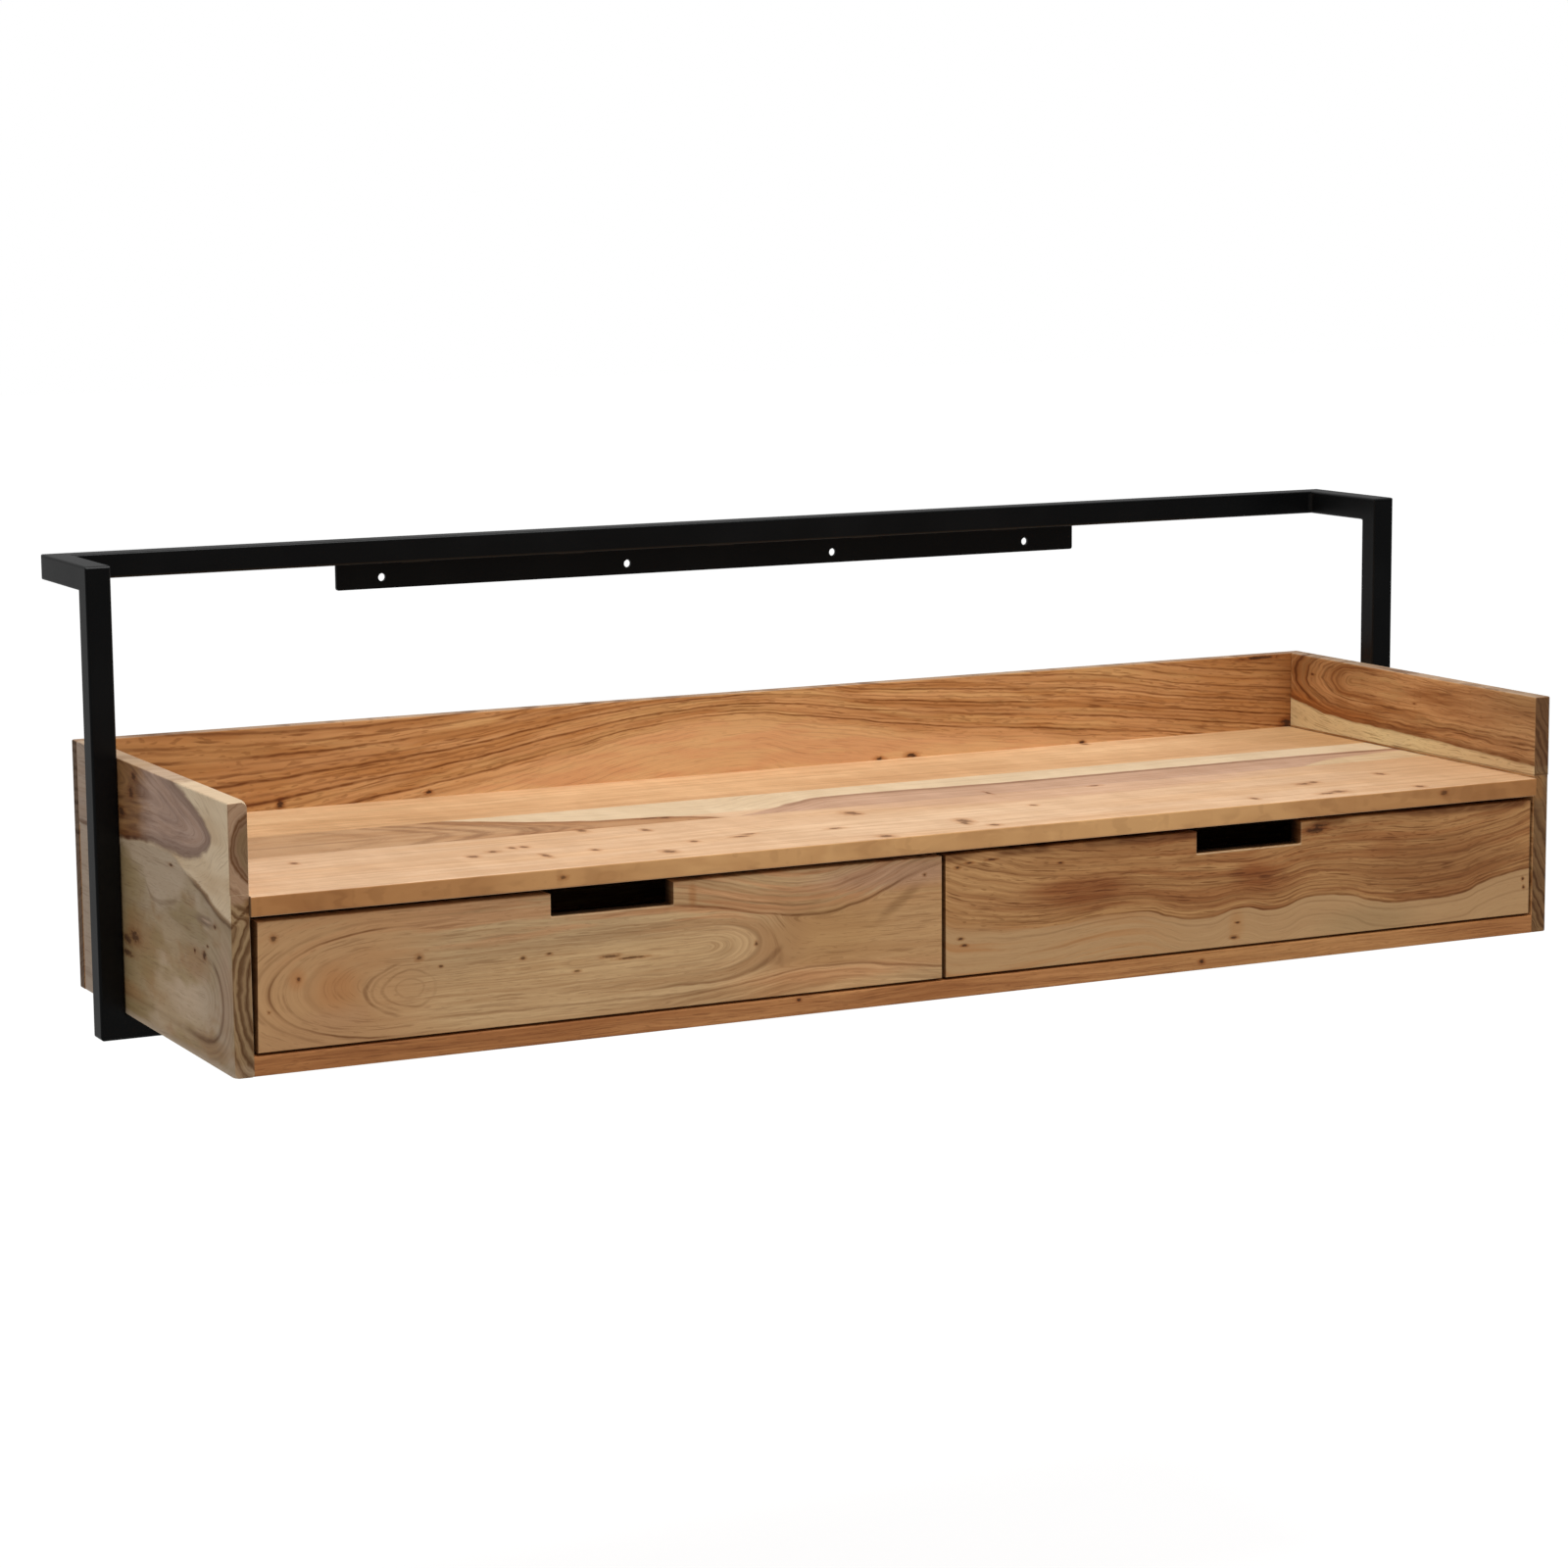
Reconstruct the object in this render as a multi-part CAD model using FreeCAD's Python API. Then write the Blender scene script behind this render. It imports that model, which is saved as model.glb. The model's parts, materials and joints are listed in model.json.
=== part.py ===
import FreeCAD, Part
import math
import os

# Floating wall desk: an acacia box with two drawers, hung in a welded square-tube frame.
# Millimetres. X runs along the desk, Y points into the wall and Z is up.
# The origin lies on the wall plane, at the middle of the wall rail's back face.

# ---------------------------------------------------------------- driving dimensions

# Wooden box
BOX_WIDTH = 1160.0          # over the side panels
BOX_DEPTH = 377.0           # from the wall to the front edges of the side panels
BOX_HEIGHT = 200.0          # side panels and back panel
SIDE_BOARD = 15.0
DESKTOP_BOARD = 15.0
BOTTOM_BOARD = 15.0
BACK_BOARD = 12.0
DIVIDER_BOARD = 15.0
DESKTOP_LEVEL = 132.0       # writing surface above the underside of the box
DESKTOP_PROUD = 3.0         # front edge of the desktop beyond the side panels
DIVIDER_SETBACK = 2.0       # divider behind the drawer fronts
EDGE_ROUND = 1.2            # eased edges of the boards

# Drawers
FRONT_BOARD = 15.0
FRONT_SIDE_GAP = 3.0        # drawer front to side panel
FRONT_MIDDLE_GAP = 3.0      # between the two drawer fronts
FRONT_TOP_GAP = 3.5         # drawer front to desktop
FRONT_BOTTOM_GAP = 2.0      # drawer front to bottom panel
NOTCH_WIDTH = 100.0         # finger notch in the top edge of each front
NOTCH_DEPTH = 18.0
NOTCH_CORNER = 1.5
DRAWER_BOARD = 12.0         # drawer sides and back
DRAWER_LIFT = 7.0           # drawer sides above the bottom panel
DRAWER_TOP_GAP = 20.0       # drawer sides below the desktop
DRAWER_REAR_GAP = 30.0      # drawer's back to the back panel
DRAWER_PLY = 5.0            # drawer bottom
PLY_RISE = 8.0              # drawer bottom above the lower edge of the sides
GROOVE_DEPTH = 5.0
GROOVE_SLACK = 0.1          # above and below the drawer bottom
GROOVE_END_SLACK = 0.5      # beyond its edges

# Ball-bearing slides, one on each side of each drawer
SLIDE_SPACE = 10.0          # between a drawer side and the cabinet
SLIDE_HEIGHT = 27.0
SLIDE_SETBACK = 2.0         # slide behind the drawer front
SLIDE_REAR_INSET = 18.0     # slide short of the drawer's rear end
SHEET = 1.0                 # slide steel
SHEET_BEND = 1.6            # outside radius of its bends
LIP_HEIGHT = 2.9            # lips that close the cabinet channel
LIP_CLEAR = 1.0             # cabinet channel's lips to the drawer side
BALL = 3.0                  # ball diameter
BALL_CLEAR = 0.3            # ball to each raceway
BALLS_PER_ROW = 4
CAGE_SHEET = 0.8
CAGE_LENGTH = 70.0
CAGE_CLEAR = 0.8            # cage to the sheet on each side of it
CAGE_BALL_SLACK = 0.05      # ball in its hole in the cage
LUG_LENGTH = 2.0            # stop lugs, along the slide
LUG_WIDTH = 8.0
STOP_CLEAR = 0.3            # between a stop and what it stops
SLIDE_SCREW_INSET = 35.0    # screws from the ends of the slide
SLIDE_SCREW = 3.5
SLIDE_SCREW_LENGTH = 7.0
SLIDE_SCREW_HEAD = 5.5

# Square-tube frame
TUBE = 20.0
TUBE_WALL = 1.5
TUBE_CORNER = 2.0
TUBE_INNER_CORNER = 0.5
FRAME_DEPTH = 120.0         # from the wall to the front of the legs
RAIL_LIFT = 128.0           # clear height from the box to the wall rail
STRIP_LENGTH = 693.0
STRIP_HEIGHT = 22.0
STRIP_THICK = 3.0
STRIP_SHIFT = -9.0          # middle of the strip from the middle of the desk
STRIP_HOLE = 6.5
STRIP_HOLE_RISE = 9.0       # hole centres above the lower edge of the strip
STRIP_HOLES = (-316.0, -96.0, 98.0, 289.0)
STRIP_CORNER = 2.0          # its two lower corners
DRESSED_CORNER = 3.0        # outside of each mitre, ground round after welding
CORNER_WELD = 4.0           # leg length of the fillets in the frame's corners
STRIP_WELD = 2.5
STRIP_WELD_LENGTH = 25.0
STRIP_WELD_COUNT = 5

# Dowels and screws
CARCASS_DOWEL = 8.0
CARCASS_DOWEL_LENGTH = 28.0
CARCASS_DOWEL_DEPTH = 9.0   # part of it in the board whose face it enters
DOWEL_CHAMFER = 0.1         # share of its diameter
DOWELS_PER_END = 3
DRAWER_DOWEL = 6.0
DRAWER_DOWEL_LENGTH = 22.0
DRAWER_DOWEL_DEPTH = 8.0
HOLE_SLACK = 0.1            # a hole's diameter over its dowel or screw
HOLE_END_SLACK = 0.5        # a blind hole beyond the tip
BACK_SCREW = 3.5
BACK_SCREW_LENGTH = 35.0
BACK_SCREW_HEAD = 7.0
BACK_SCREWS_PER_BOARD = 4   # along the desktop and the bottom panel
SCREW_TIP = 0.25            # share of its diameter
CROSSBAR_SCREW = 4.0
CROSSBAR_SCREW_BITE = 12.0  # in the bottom panel
CROSSBAR_SCREW_HEAD = 8.0
CROSSBAR_HEAD_THICK = 2.4
CROSSBAR_SCREW_COUNT = 4
ACCESS_SLACK = 2.0          # the access hole's diameter over the screw's head

# ---------------------------------------------------------------- worked out

LEFT = -1
RIGHT = 1
HANDS = {"left": LEFT, "right": RIGHT}

RAIL_UNDERSIDE = -TUBE / 2
BOX_TOP = RAIL_UNDERSIDE - RAIL_LIFT
BOX_UNDERSIDE = BOX_TOP - BOX_HEIGHT
BOX_FRONT = -BOX_DEPTH
BACK_FACE = -BACK_BOARD                     # front face of the back panel
INSIDE_HALF = BOX_WIDTH / 2 - SIDE_BOARD    # inner face of a side panel
DESKTOP_TOP = BOX_UNDERSIDE + DESKTOP_LEVEL
DESKTOP_UNDERSIDE = DESKTOP_TOP - DESKTOP_BOARD
FLOOR_TOP = BOX_UNDERSIDE + BOTTOM_BOARD    # upper face of the bottom panel
DESKTOP_MIDDLE = (DESKTOP_TOP + DESKTOP_UNDERSIDE) / 2
FLOOR_MIDDLE = (FLOOR_TOP + BOX_UNDERSIDE) / 2
BEHIND_FRONTS = BOX_FRONT + FRONT_BOARD     # back face of the drawer fronts

FRONT_INNER = FRONT_MIDDLE_GAP / 2
FRONT_OUTER = INSIDE_HALF - FRONT_SIDE_GAP
FRONT_TOP = DESKTOP_UNDERSIDE - FRONT_TOP_GAP
FRONT_UNDERSIDE = FLOOR_TOP + FRONT_BOTTOM_GAP
DRAWER_INNER = DIVIDER_BOARD / 2 + SLIDE_SPACE   # drawer side next to the divider
DRAWER_OUTER = INSIDE_HALF - SLIDE_SPACE         # drawer side next to the side panel
DRAWER_UNDERSIDE = FLOOR_TOP + DRAWER_LIFT
DRAWER_TOP = DESKTOP_UNDERSIDE - DRAWER_TOP_GAP
DRAWER_REAR = BACK_FACE - DRAWER_REAR_GAP
PLY_UNDERSIDE = DRAWER_UNDERSIDE + PLY_RISE

SLIDE_FRONT = BEHIND_FRONTS + SLIDE_SETBACK
SLIDE_REAR = DRAWER_REAR - SLIDE_REAR_INSET
SLIDE_LENGTH = SLIDE_REAR - SLIDE_FRONT
SLIDE_LEVEL = (DRAWER_UNDERSIDE + DRAWER_TOP) / 2
INNER_LENGTH = SLIDE_LENGTH - LUG_LENGTH - STOP_CLEAR
RACE_OUTER = SLIDE_HEIGHT / 2 - SHEET            # inner face of the cabinet channel's flange
RACE_INNER = RACE_OUTER - BALL - 2 * BALL_CLEAR  # outer face of the drawer channel's flange
RACE_MIDDLE = (RACE_OUTER + RACE_INNER) / 2
CHANNEL_DEPTH = SLIDE_SPACE - LIP_CLEAR
CAGE_BACK = SHEET + CAGE_CLEAR                   # cage's web, from the cabinet's face
FLANGE_END = CAGE_BACK + CAGE_SHEET + CAGE_CLEAR # drawer channel's flange, likewise
CAGE_EDGE = CHANNEL_DEPTH - SHEET - CAGE_CLEAR
BALL_OFFSET = (CAGE_BACK + CAGE_SHEET + CAGE_EDGE) / 2
TRAVEL = INNER_LENGTH - CAGE_LENGTH - 2 * (LUG_LENGTH + STOP_CLEAR)
CAGE_FRONT = SLIDE_FRONT + LUG_LENGTH + STOP_CLEAR + TRAVEL / 2

LEG_CENTRE = BOX_WIDTH / 2 + TUBE / 2
LEG_Y = -FRAME_DEPTH + TUBE / 2
RAIL_Y = -TUBE / 2
CROSSBAR_Z = BOX_UNDERSIDE - TUBE / 2
STRIP_UNDERSIDE = RAIL_UNDERSIDE - STRIP_HEIGHT

X_AXIS = FreeCAD.Vector(1, 0, 0)
Y_AXIS = FreeCAD.Vector(0, 1, 0)
Z_AXIS = FreeCAD.Vector(0, 0, 1)


# ---------------------------------------------------------------- helpers

def vec(x, y, z):
    return FreeCAD.Vector(x, y, z)


def block(x, y, z):
    """A box between two values on each axis, each given as a pair in any order."""
    low = vec(min(x), min(y), min(z))
    high = vec(max(x), max(y), max(z))
    size = high - low
    return Part.makeBox(size.x, size.y, size.z, low)


def rod(diameter, start, direction, length):
    return Part.makeCylinder(diameter / 2, length, start, direction)


def spread(low, high, count):
    """Evenly spaced places between two ends, half a pitch in from each."""
    pitch = (high - low) / count
    return [low + pitch * (place + 0.5) for place in range(count)]


def ease(shape, wanted, radius=EDGE_ROUND):
    """Round the straight edges whose middle passes the test."""
    edges = [edge for edge in shape.Edges if wanted(edge.CenterOfMass)]
    return shape.makeFillet(radius, edges)


def near(value, *targets):
    return any(abs(value - target) < 0.001 for target in targets)


def unzip(pairs):
    """Two lists, from a list of pairs."""
    firsts, seconds = zip(*pairs)
    return list(firsts), list(seconds)


def mirrored(path):
    """A path of (u, v) pairs, followed by its mirror image below v = 0."""
    return path + [(u, -v) for u, v in reversed(path)]


def rounded_outline(points, radii):
    """A closed face through flat points, with an arc of its own radius at each corner."""
    count = len(points)
    edges = []
    starts = []
    ends = []
    for index, corner in enumerate(points):
        back = points[index - 1] - corner
        ahead = points[(index + 1) % count] - corner
        back.normalize()
        ahead.normalize()
        half = back.getAngle(ahead) / 2
        reach = radii[index] / math.tan(half)
        starts.append(corner + back * reach)
        ends.append(corner + ahead * reach)
        if radii[index] > 0:
            inward = back + ahead
            inward.normalize()
            middle = corner + inward * radii[index] * (1 / math.sin(half) - 1)
            edges.append(Part.Arc(starts[index], middle, ends[index]).toShape())
    for index in range(count):
        edges.append(Part.LineSegment(ends[index], starts[(index + 1) % count]).toShape())
    return Part.Face(Part.Wire(Part.__sortEdges__(edges)))


def offset_path(path, distance):
    """An open path of (u, v) pairs, moved sideways and still parallel to itself."""
    normals = []
    for (u, v), (next_u, next_v) in zip(path, path[1:]):
        run = math.hypot(next_u - u, next_v - v)
        normals.append(((v - next_v) / run, (next_u - u) / run))
    moved = []
    for index, (u, v) in enumerate(path):
        before = normals[max(index - 1, 0)]
        after = normals[min(index, len(normals) - 1)]
        reach = distance / (1 + before[0] * after[0] + before[1] * after[1])
        moved.append((u + reach * (before[0] + after[0]), v + reach * (before[1] + after[1])))
    return moved


def bent_sheet(path, thickness, bend, place, length):
    """A folded sheet that runs along Y. The path is its middle line, as (u, v) pairs that
    all turn the same way, and place puts such a pair at the sheet's front end."""
    sides = [offset_path(path, thickness / 2), offset_path(path, -thickness / 2)]
    sides.sort(key=lambda side: max(v for u, v in side))
    inside, outside = sides
    corners = outside + inside[::-1]
    folds = len(path) - 2
    radii = [0] + [bend] * folds + [0, 0] + [bend - thickness] * folds + [0]
    outline = rounded_outline([place(u, v) for u, v in corners], radii)
    return outline.extrude(Y_AXIS * length)


# ---------------------------------------------------------------- dowels and screws

def dowel(diameter, length, depth, face, direction):
    """A dowel, and the hole for it. It starts depth behind face and runs along direction."""
    start = face - direction * depth
    pin = rod(diameter, start, direction, length)
    rims = [edge for edge in pin.Edges if edge.Length > diameter and edge.isClosed()]
    pin = pin.makeChamfer(diameter * DOWEL_CHAMFER, rims)
    hole = rod(
        diameter + HOLE_SLACK, start - direction * HOLE_END_SLACK, direction,
        length + 2 * HOLE_END_SLACK)
    return pin, hole


def countersunk(diameter, head, length, face, direction, head_depth):
    """A countersunk screw whose head is flush with face, and the hole for it."""
    head_end = face + direction * head_depth
    tip_start = face + direction * (length - diameter)
    screw = Part.makeCone(head / 2, diameter / 2, head_depth, face, direction)
    shank = rod(diameter, head_end, direction, length - head_depth - diameter)
    tip = Part.makeCone(diameter / 2, diameter / 2 * SCREW_TIP, diameter, tip_start, direction)
    screw = screw.fuse([shank, tip]).removeSplitter()
    slack = HOLE_SLACK / 2
    seat = Part.makeCone(head / 2 + slack, diameter / 2 + slack, head_depth, face, direction)
    bore = rod(diameter + HOLE_SLACK, face, direction, length + HOLE_END_SLACK)
    return screw, seat.fuse(bore)


def carcass_joints():
    """Dowels at the ends of the desktop and bottom panel, and above and below the divider."""
    joints = []
    for level in (DESKTOP_MIDDLE, FLOOR_MIDDLE):
        for hand in HANDS.values():
            for y in spread(BOX_FRONT, BACK_FACE, DOWELS_PER_END):
                joints.append((vec(hand * INSIDE_HALF, y, level), -hand * X_AXIS))
    for level, direction in ((DESKTOP_UNDERSIDE, -Z_AXIS), (FLOOR_TOP, Z_AXIS)):
        for y in spread(BEHIND_FRONTS, BACK_FACE, DOWELS_PER_END):
            joints.append((vec(0, y, level), direction))
    pairs = [
        dowel(CARCASS_DOWEL, CARCASS_DOWEL_LENGTH, CARCASS_DOWEL_DEPTH, face, direction)
        for face, direction in joints]
    return unzip(pairs)


def back_joints():
    """Screws from the wall side into the desktop, the bottom panel and both side panels."""
    places = []
    for level in (DESKTOP_MIDDLE, FLOOR_MIDDLE):
        places += [(x, level) for x in spread(-INSIDE_HALF, INSIDE_HALF, BACK_SCREWS_PER_BOARD)]
    for hand in HANDS.values():
        for level in ((BOX_TOP + DESKTOP_TOP) / 2, (DESKTOP_UNDERSIDE + FLOOR_TOP) / 2):
            places.append((hand * (INSIDE_HALF + SIDE_BOARD / 2), level))
    head_depth = (BACK_SCREW_HEAD - BACK_SCREW) / 2
    pairs = [
        countersunk(BACK_SCREW, BACK_SCREW_HEAD, BACK_SCREW_LENGTH, vec(x, 0, level), -Y_AXIS, head_depth)
        for x, level in places]
    return unzip(pairs)


def crossbar_joints():
    """Screws up into the bottom panel. Their heads lie inside the crossbar, on its upper wall."""
    pairs = []
    for x in spread(-INSIDE_HALF, INSIDE_HALF, CROSSBAR_SCREW_COUNT):
        seat = vec(x, LEG_Y, BOX_UNDERSIDE - TUBE_WALL)
        head = rod(CROSSBAR_SCREW_HEAD, seat, -Z_AXIS, CROSSBAR_HEAD_THICK)
        length = TUBE_WALL + CROSSBAR_SCREW_BITE
        shank = rod(CROSSBAR_SCREW, seat, Z_AXIS, length)
        bore = rod(CROSSBAR_SCREW + HOLE_SLACK, seat, Z_AXIS, length + HOLE_END_SLACK)
        opening = vec(x, LEG_Y, BOX_UNDERSIDE - TUBE)
        access = rod(CROSSBAR_SCREW_HEAD + ACCESS_SLACK, opening, Z_AXIS, TUBE_WALL)
        pairs.append((head.fuse(shank).removeSplitter(), bore.fuse(access)))
    return unzip(pairs)


# ---------------------------------------------------------------- slides

def slide_set(cabinet_face, hand):
    """One ball-bearing slide between cabinet_face, a plane across X, and the drawer side.

    In its section u is the distance from cabinet_face in the direction of hand, and v is the
    height above the slide's middle.
    """
    def place(u, v, y=SLIDE_FRONT):
        return vec(cabinet_face + hand * u, y, SLIDE_LEVEL + v)

    def plate(u_low, u_high, y_low, y_high):
        corner = place(u_low, -LUG_WIDTH / 2, y_low)
        opposite = place(u_high, LUG_WIDTH / 2, y_high)
        return block((corner.x, opposite.x), (corner.y, opposite.y), (corner.z, opposite.z))

    half_sheet = SHEET / 2
    flange = SLIDE_HEIGHT / 2 - half_sheet
    lip = CHANNEL_DEPTH - half_sheet
    lip_end = SLIDE_HEIGHT / 2 - LIP_HEIGHT
    cabinet = bent_sheet(
        mirrored([(lip, lip_end), (lip, flange), (half_sheet, flange)]),
        SHEET, SHEET_BEND, place, SLIDE_LENGTH)
    drawer_web = SLIDE_SPACE - half_sheet
    drawer_flange = RACE_INNER - half_sheet
    drawer = bent_sheet(
        mirrored([(FLANGE_END, drawer_flange), (drawer_web, drawer_flange)]),
        SHEET, SHEET_BEND, place, INNER_LENGTH)
    cage_web = CAGE_BACK + CAGE_SHEET / 2
    cage = bent_sheet(
        mirrored([(CAGE_EDGE, RACE_MIDDLE), (cage_web, RACE_MIDDLE)]),
        CAGE_SHEET, CAGE_SHEET, lambda u, v: place(u, v, CAGE_FRONT), CAGE_LENGTH)

    # The front and rear lugs pinch the cage between them when the drawer is fully open. The
    # drawer channel meets the end plate when it is shut.
    drawer_rear = SLIDE_FRONT + INNER_LENGTH
    front_lug = plate(half_sheet, CAGE_BACK + CAGE_SHEET, SLIDE_FRONT, SLIDE_FRONT + LUG_LENGTH)
    end_plate = plate(half_sheet, CHANNEL_DEPTH, SLIDE_REAR - LUG_LENGTH, SLIDE_REAR)
    rear_lug = plate(CAGE_BACK, drawer_web, drawer_rear - LUG_LENGTH, drawer_rear)
    cabinet = cabinet.fuse([front_lug, end_plate]).removeSplitter()
    drawer = drawer.fuse(rear_lug).removeSplitter()

    balls = []
    ball_holes = []
    for y in spread(CAGE_FRONT, CAGE_FRONT + CAGE_LENGTH, BALLS_PER_ROW):
        for level in (-RACE_MIDDLE, RACE_MIDDLE):
            balls.append(Part.makeSphere(BALL / 2, place(BALL_OFFSET, level, y)))
            below = place(BALL_OFFSET, level - CAGE_SHEET, y)
            ball_holes.append(rod(BALL + 2 * CAGE_BALL_SLACK, below, Z_AXIS, 2 * CAGE_SHEET))

    cabinet_pairs = []
    drawer_pairs = []
    for y in (SLIDE_FRONT + SLIDE_SCREW_INSET, SLIDE_REAR - SLIDE_SCREW_INSET):
        cabinet_pairs.append(countersunk(
            SLIDE_SCREW, SLIDE_SCREW_HEAD, SLIDE_SCREW_LENGTH, place(SHEET, 0, y),
            -hand * X_AXIS, SHEET))
        drawer_pairs.append(countersunk(
            SLIDE_SCREW, SLIDE_SCREW_HEAD, SLIDE_SCREW_LENGTH, place(SLIDE_SPACE - SHEET, 0, y),
            hand * X_AXIS, SHEET))
    cabinet_screws, cabinet_holes = unzip(cabinet_pairs)
    drawer_screws, drawer_holes = unzip(drawer_pairs)
    return {
        "cabinet_channel": cabinet.cut(cabinet_holes),
        "drawer_channel": drawer.cut(drawer_holes),
        "cage": cage.cut(ball_holes),
        "balls": balls,
        "cabinet_screws": cabinet_screws,
        "cabinet_holes": cabinet_holes,
        "drawer_screws": drawer_screws,
        "drawer_holes": drawer_holes,
    }


# ---------------------------------------------------------------- drawers

def drawer_front(hand):
    middle = hand * (FRONT_INNER + FRONT_OUTER) / 2
    notch_floor = FRONT_TOP - NOTCH_DEPTH
    half_notch = NOTCH_WIDTH / 2
    notch = block(
        (middle - half_notch, middle + half_notch),
        (BOX_FRONT - FRONT_BOARD, BEHIND_FRONTS + FRONT_BOARD),
        (notch_floor, FRONT_TOP + NOTCH_DEPTH))
    notch_edges = [
        edge for edge in notch.Edges
        if near(edge.CenterOfMass.z, notch_floor) and not near(edge.CenterOfMass.x, middle)]
    notch = notch.makeFillet(NOTCH_CORNER, notch_edges)
    front = block(
        (hand * FRONT_INNER, hand * FRONT_OUTER), (BOX_FRONT, BEHIND_FRONTS),
        (FRONT_UNDERSIDE, FRONT_TOP))
    return ease(front, lambda at: near(at.y, BOX_FRONT)).cut(notch)


def drawer_nodes(name, hand):
    """The drawer's box, its two slides and their fasteners."""
    slides = {
        "outer": slide_set(hand * INSIDE_HALF, -hand),
        "inner": slide_set(hand * DIVIDER_BOARD / 2, hand),
    }
    made = {}
    for side, slide in slides.items():
        made[f"drawer_{name}_cabinet_channel_{side}"] = slide["cabinet_channel"]
        made[f"drawer_{name}_drawer_channel_{side}"] = slide["drawer_channel"]
    for piece in ("balls", "drawer_screws"):
        made[f"drawer_{name}_{piece}"] = Part.makeCompound(
            slides["outer"][piece] + slides["inner"][piece])
    made[f"drawer_{name}_ball_cages"] = Part.makeCompound([slide["cage"] for slide in slides.values()])

    length = (BEHIND_FRONTS, DRAWER_REAR)
    height = (DRAWER_UNDERSIDE, DRAWER_TOP)
    side_x = {
        "inner": (hand * DRAWER_INNER, hand * (DRAWER_INNER + DRAWER_BOARD)),
        "outer": (hand * DRAWER_OUTER, hand * (DRAWER_OUTER - DRAWER_BOARD)),
    }
    inside_faces = {"inner": side_x["inner"][1], "outer": side_x["outer"][1]}
    back_front = DRAWER_REAR - DRAWER_BOARD
    back = block(inside_faces.values(), (back_front, DRAWER_REAR), height)

    ply_x = (min(inside_faces.values()) - GROOVE_DEPTH, max(inside_faces.values()) + GROOVE_DEPTH)
    ply_y = (BEHIND_FRONTS - GROOVE_DEPTH, back_front + GROOVE_DEPTH)
    ply = block(ply_x, ply_y, (PLY_UNDERSIDE, PLY_UNDERSIDE + DRAWER_PLY))
    groove = block(
        (ply_x[0] - GROOVE_END_SLACK, ply_x[1] + GROOVE_END_SLACK),
        (ply_y[0] - GROOVE_END_SLACK, ply_y[1] + GROOVE_END_SLACK),
        (PLY_UNDERSIDE - GROOVE_SLACK, PLY_UNDERSIDE + DRAWER_PLY + GROOVE_SLACK))

    joints = []
    for side, across in (("inner", hand), ("outer", -hand)):
        for level in (SLIDE_LEVEL, DRAWER_TOP - DRAWER_BOARD):
            middle = (side_x[side][0] + side_x[side][1]) / 2
            joints.append((vec(middle, BEHIND_FRONTS, level), Y_AXIS))
            corner = vec(inside_faces[side], DRAWER_REAR - DRAWER_BOARD / 2, level)
            joints.append((corner, across * X_AXIS))
    dowels, dowel_holes = unzip([
        dowel(DRAWER_DOWEL, DRAWER_DOWEL_LENGTH, DRAWER_DOWEL_DEPTH, face, direction)
        for face, direction in joints])

    for side, across in side_x.items():
        board = block(across, length, height)
        made[f"drawer_{name}_side_{side}"] = board.cut(
            [groove] + dowel_holes + slides[side]["drawer_holes"])
    made[f"drawer_{name}_back"] = back.cut([groove] + dowel_holes)
    made[f"drawer_{name}_front"] = drawer_front(hand).cut([groove] + dowel_holes)
    made[f"drawer_{name}_bottom"] = ply
    made[f"drawer_{name}_dowels"] = Part.makeCompound(dowels)
    cabinet_screws = slides["outer"]["cabinet_screws"] + slides["inner"]["cabinet_screws"]
    cabinet_holes = slides["outer"]["cabinet_holes"] + slides["inner"]["cabinet_holes"]
    return made, cabinet_screws, cabinet_holes


# ---------------------------------------------------------------- square-tube frame

def square_tube(start, end):
    """A hollow tube along one axis, half its width longer than start to end at both ends."""
    half = vec(TUBE, TUBE, TUBE) / 2
    low = vec(min(start.x, end.x), min(start.y, end.y), min(start.z, end.z)) - half
    high = vec(max(start.x, end.x), max(start.y, end.y), max(start.z, end.z)) + half
    run = end - start
    run.normalize()
    wall = vec(TUBE_WALL, TUBE_WALL, TUBE_WALL)
    inset = wall - vec(abs(run.x), abs(run.y), abs(run.z)) * (TUBE_WALL + TUBE)
    skins = []
    for shrink, radius in ((vec(0, 0, 0), TUBE_CORNER), (inset, TUBE_INNER_CORNER)):
        a = low + shrink
        b = high - shrink
        skin = block((a.x, b.x), (a.y, b.y), (a.z, b.z))
        long_edges = [edge for edge in skin.Edges if near(abs(edge.tangentAt(0).dot(run)), 1)]
        skins.append(skin.makeFillet(radius, long_edges))
    return skins[0].cut(skins[1])


def mitre(tube, corner, own, other):
    """Cut a tube's end to the plane that halves the angle to the tube that it meets."""
    reach = 3 * TUBE
    beyond = Part.makeBox(2 * reach, 2 * reach, 2 * reach, vec(-reach, -reach, 0))
    beyond.Placement = FreeCAD.Placement(corner, FreeCAD.Rotation(Z_AXIS, other - own))
    return tube.cut(beyond)


def corner_grinding(corner, first, second):
    """What is ground off the outside of a mitre. Both directions run from the corner into a
    tube."""
    diagonal = first + second
    across = first.cross(second) * TUBE
    outside = corner - diagonal * TUBE / 2
    centre = outside + diagonal * DRESSED_CORNER
    low = outside - diagonal * DRESSED_CORNER - across
    high = centre + across
    ground = block((low.x, high.x), (low.y, high.y), (low.z, high.z))
    return ground.cut(rod(2 * DRESSED_CORNER, centre - across, first.cross(second), 2 * TUBE))


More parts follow.
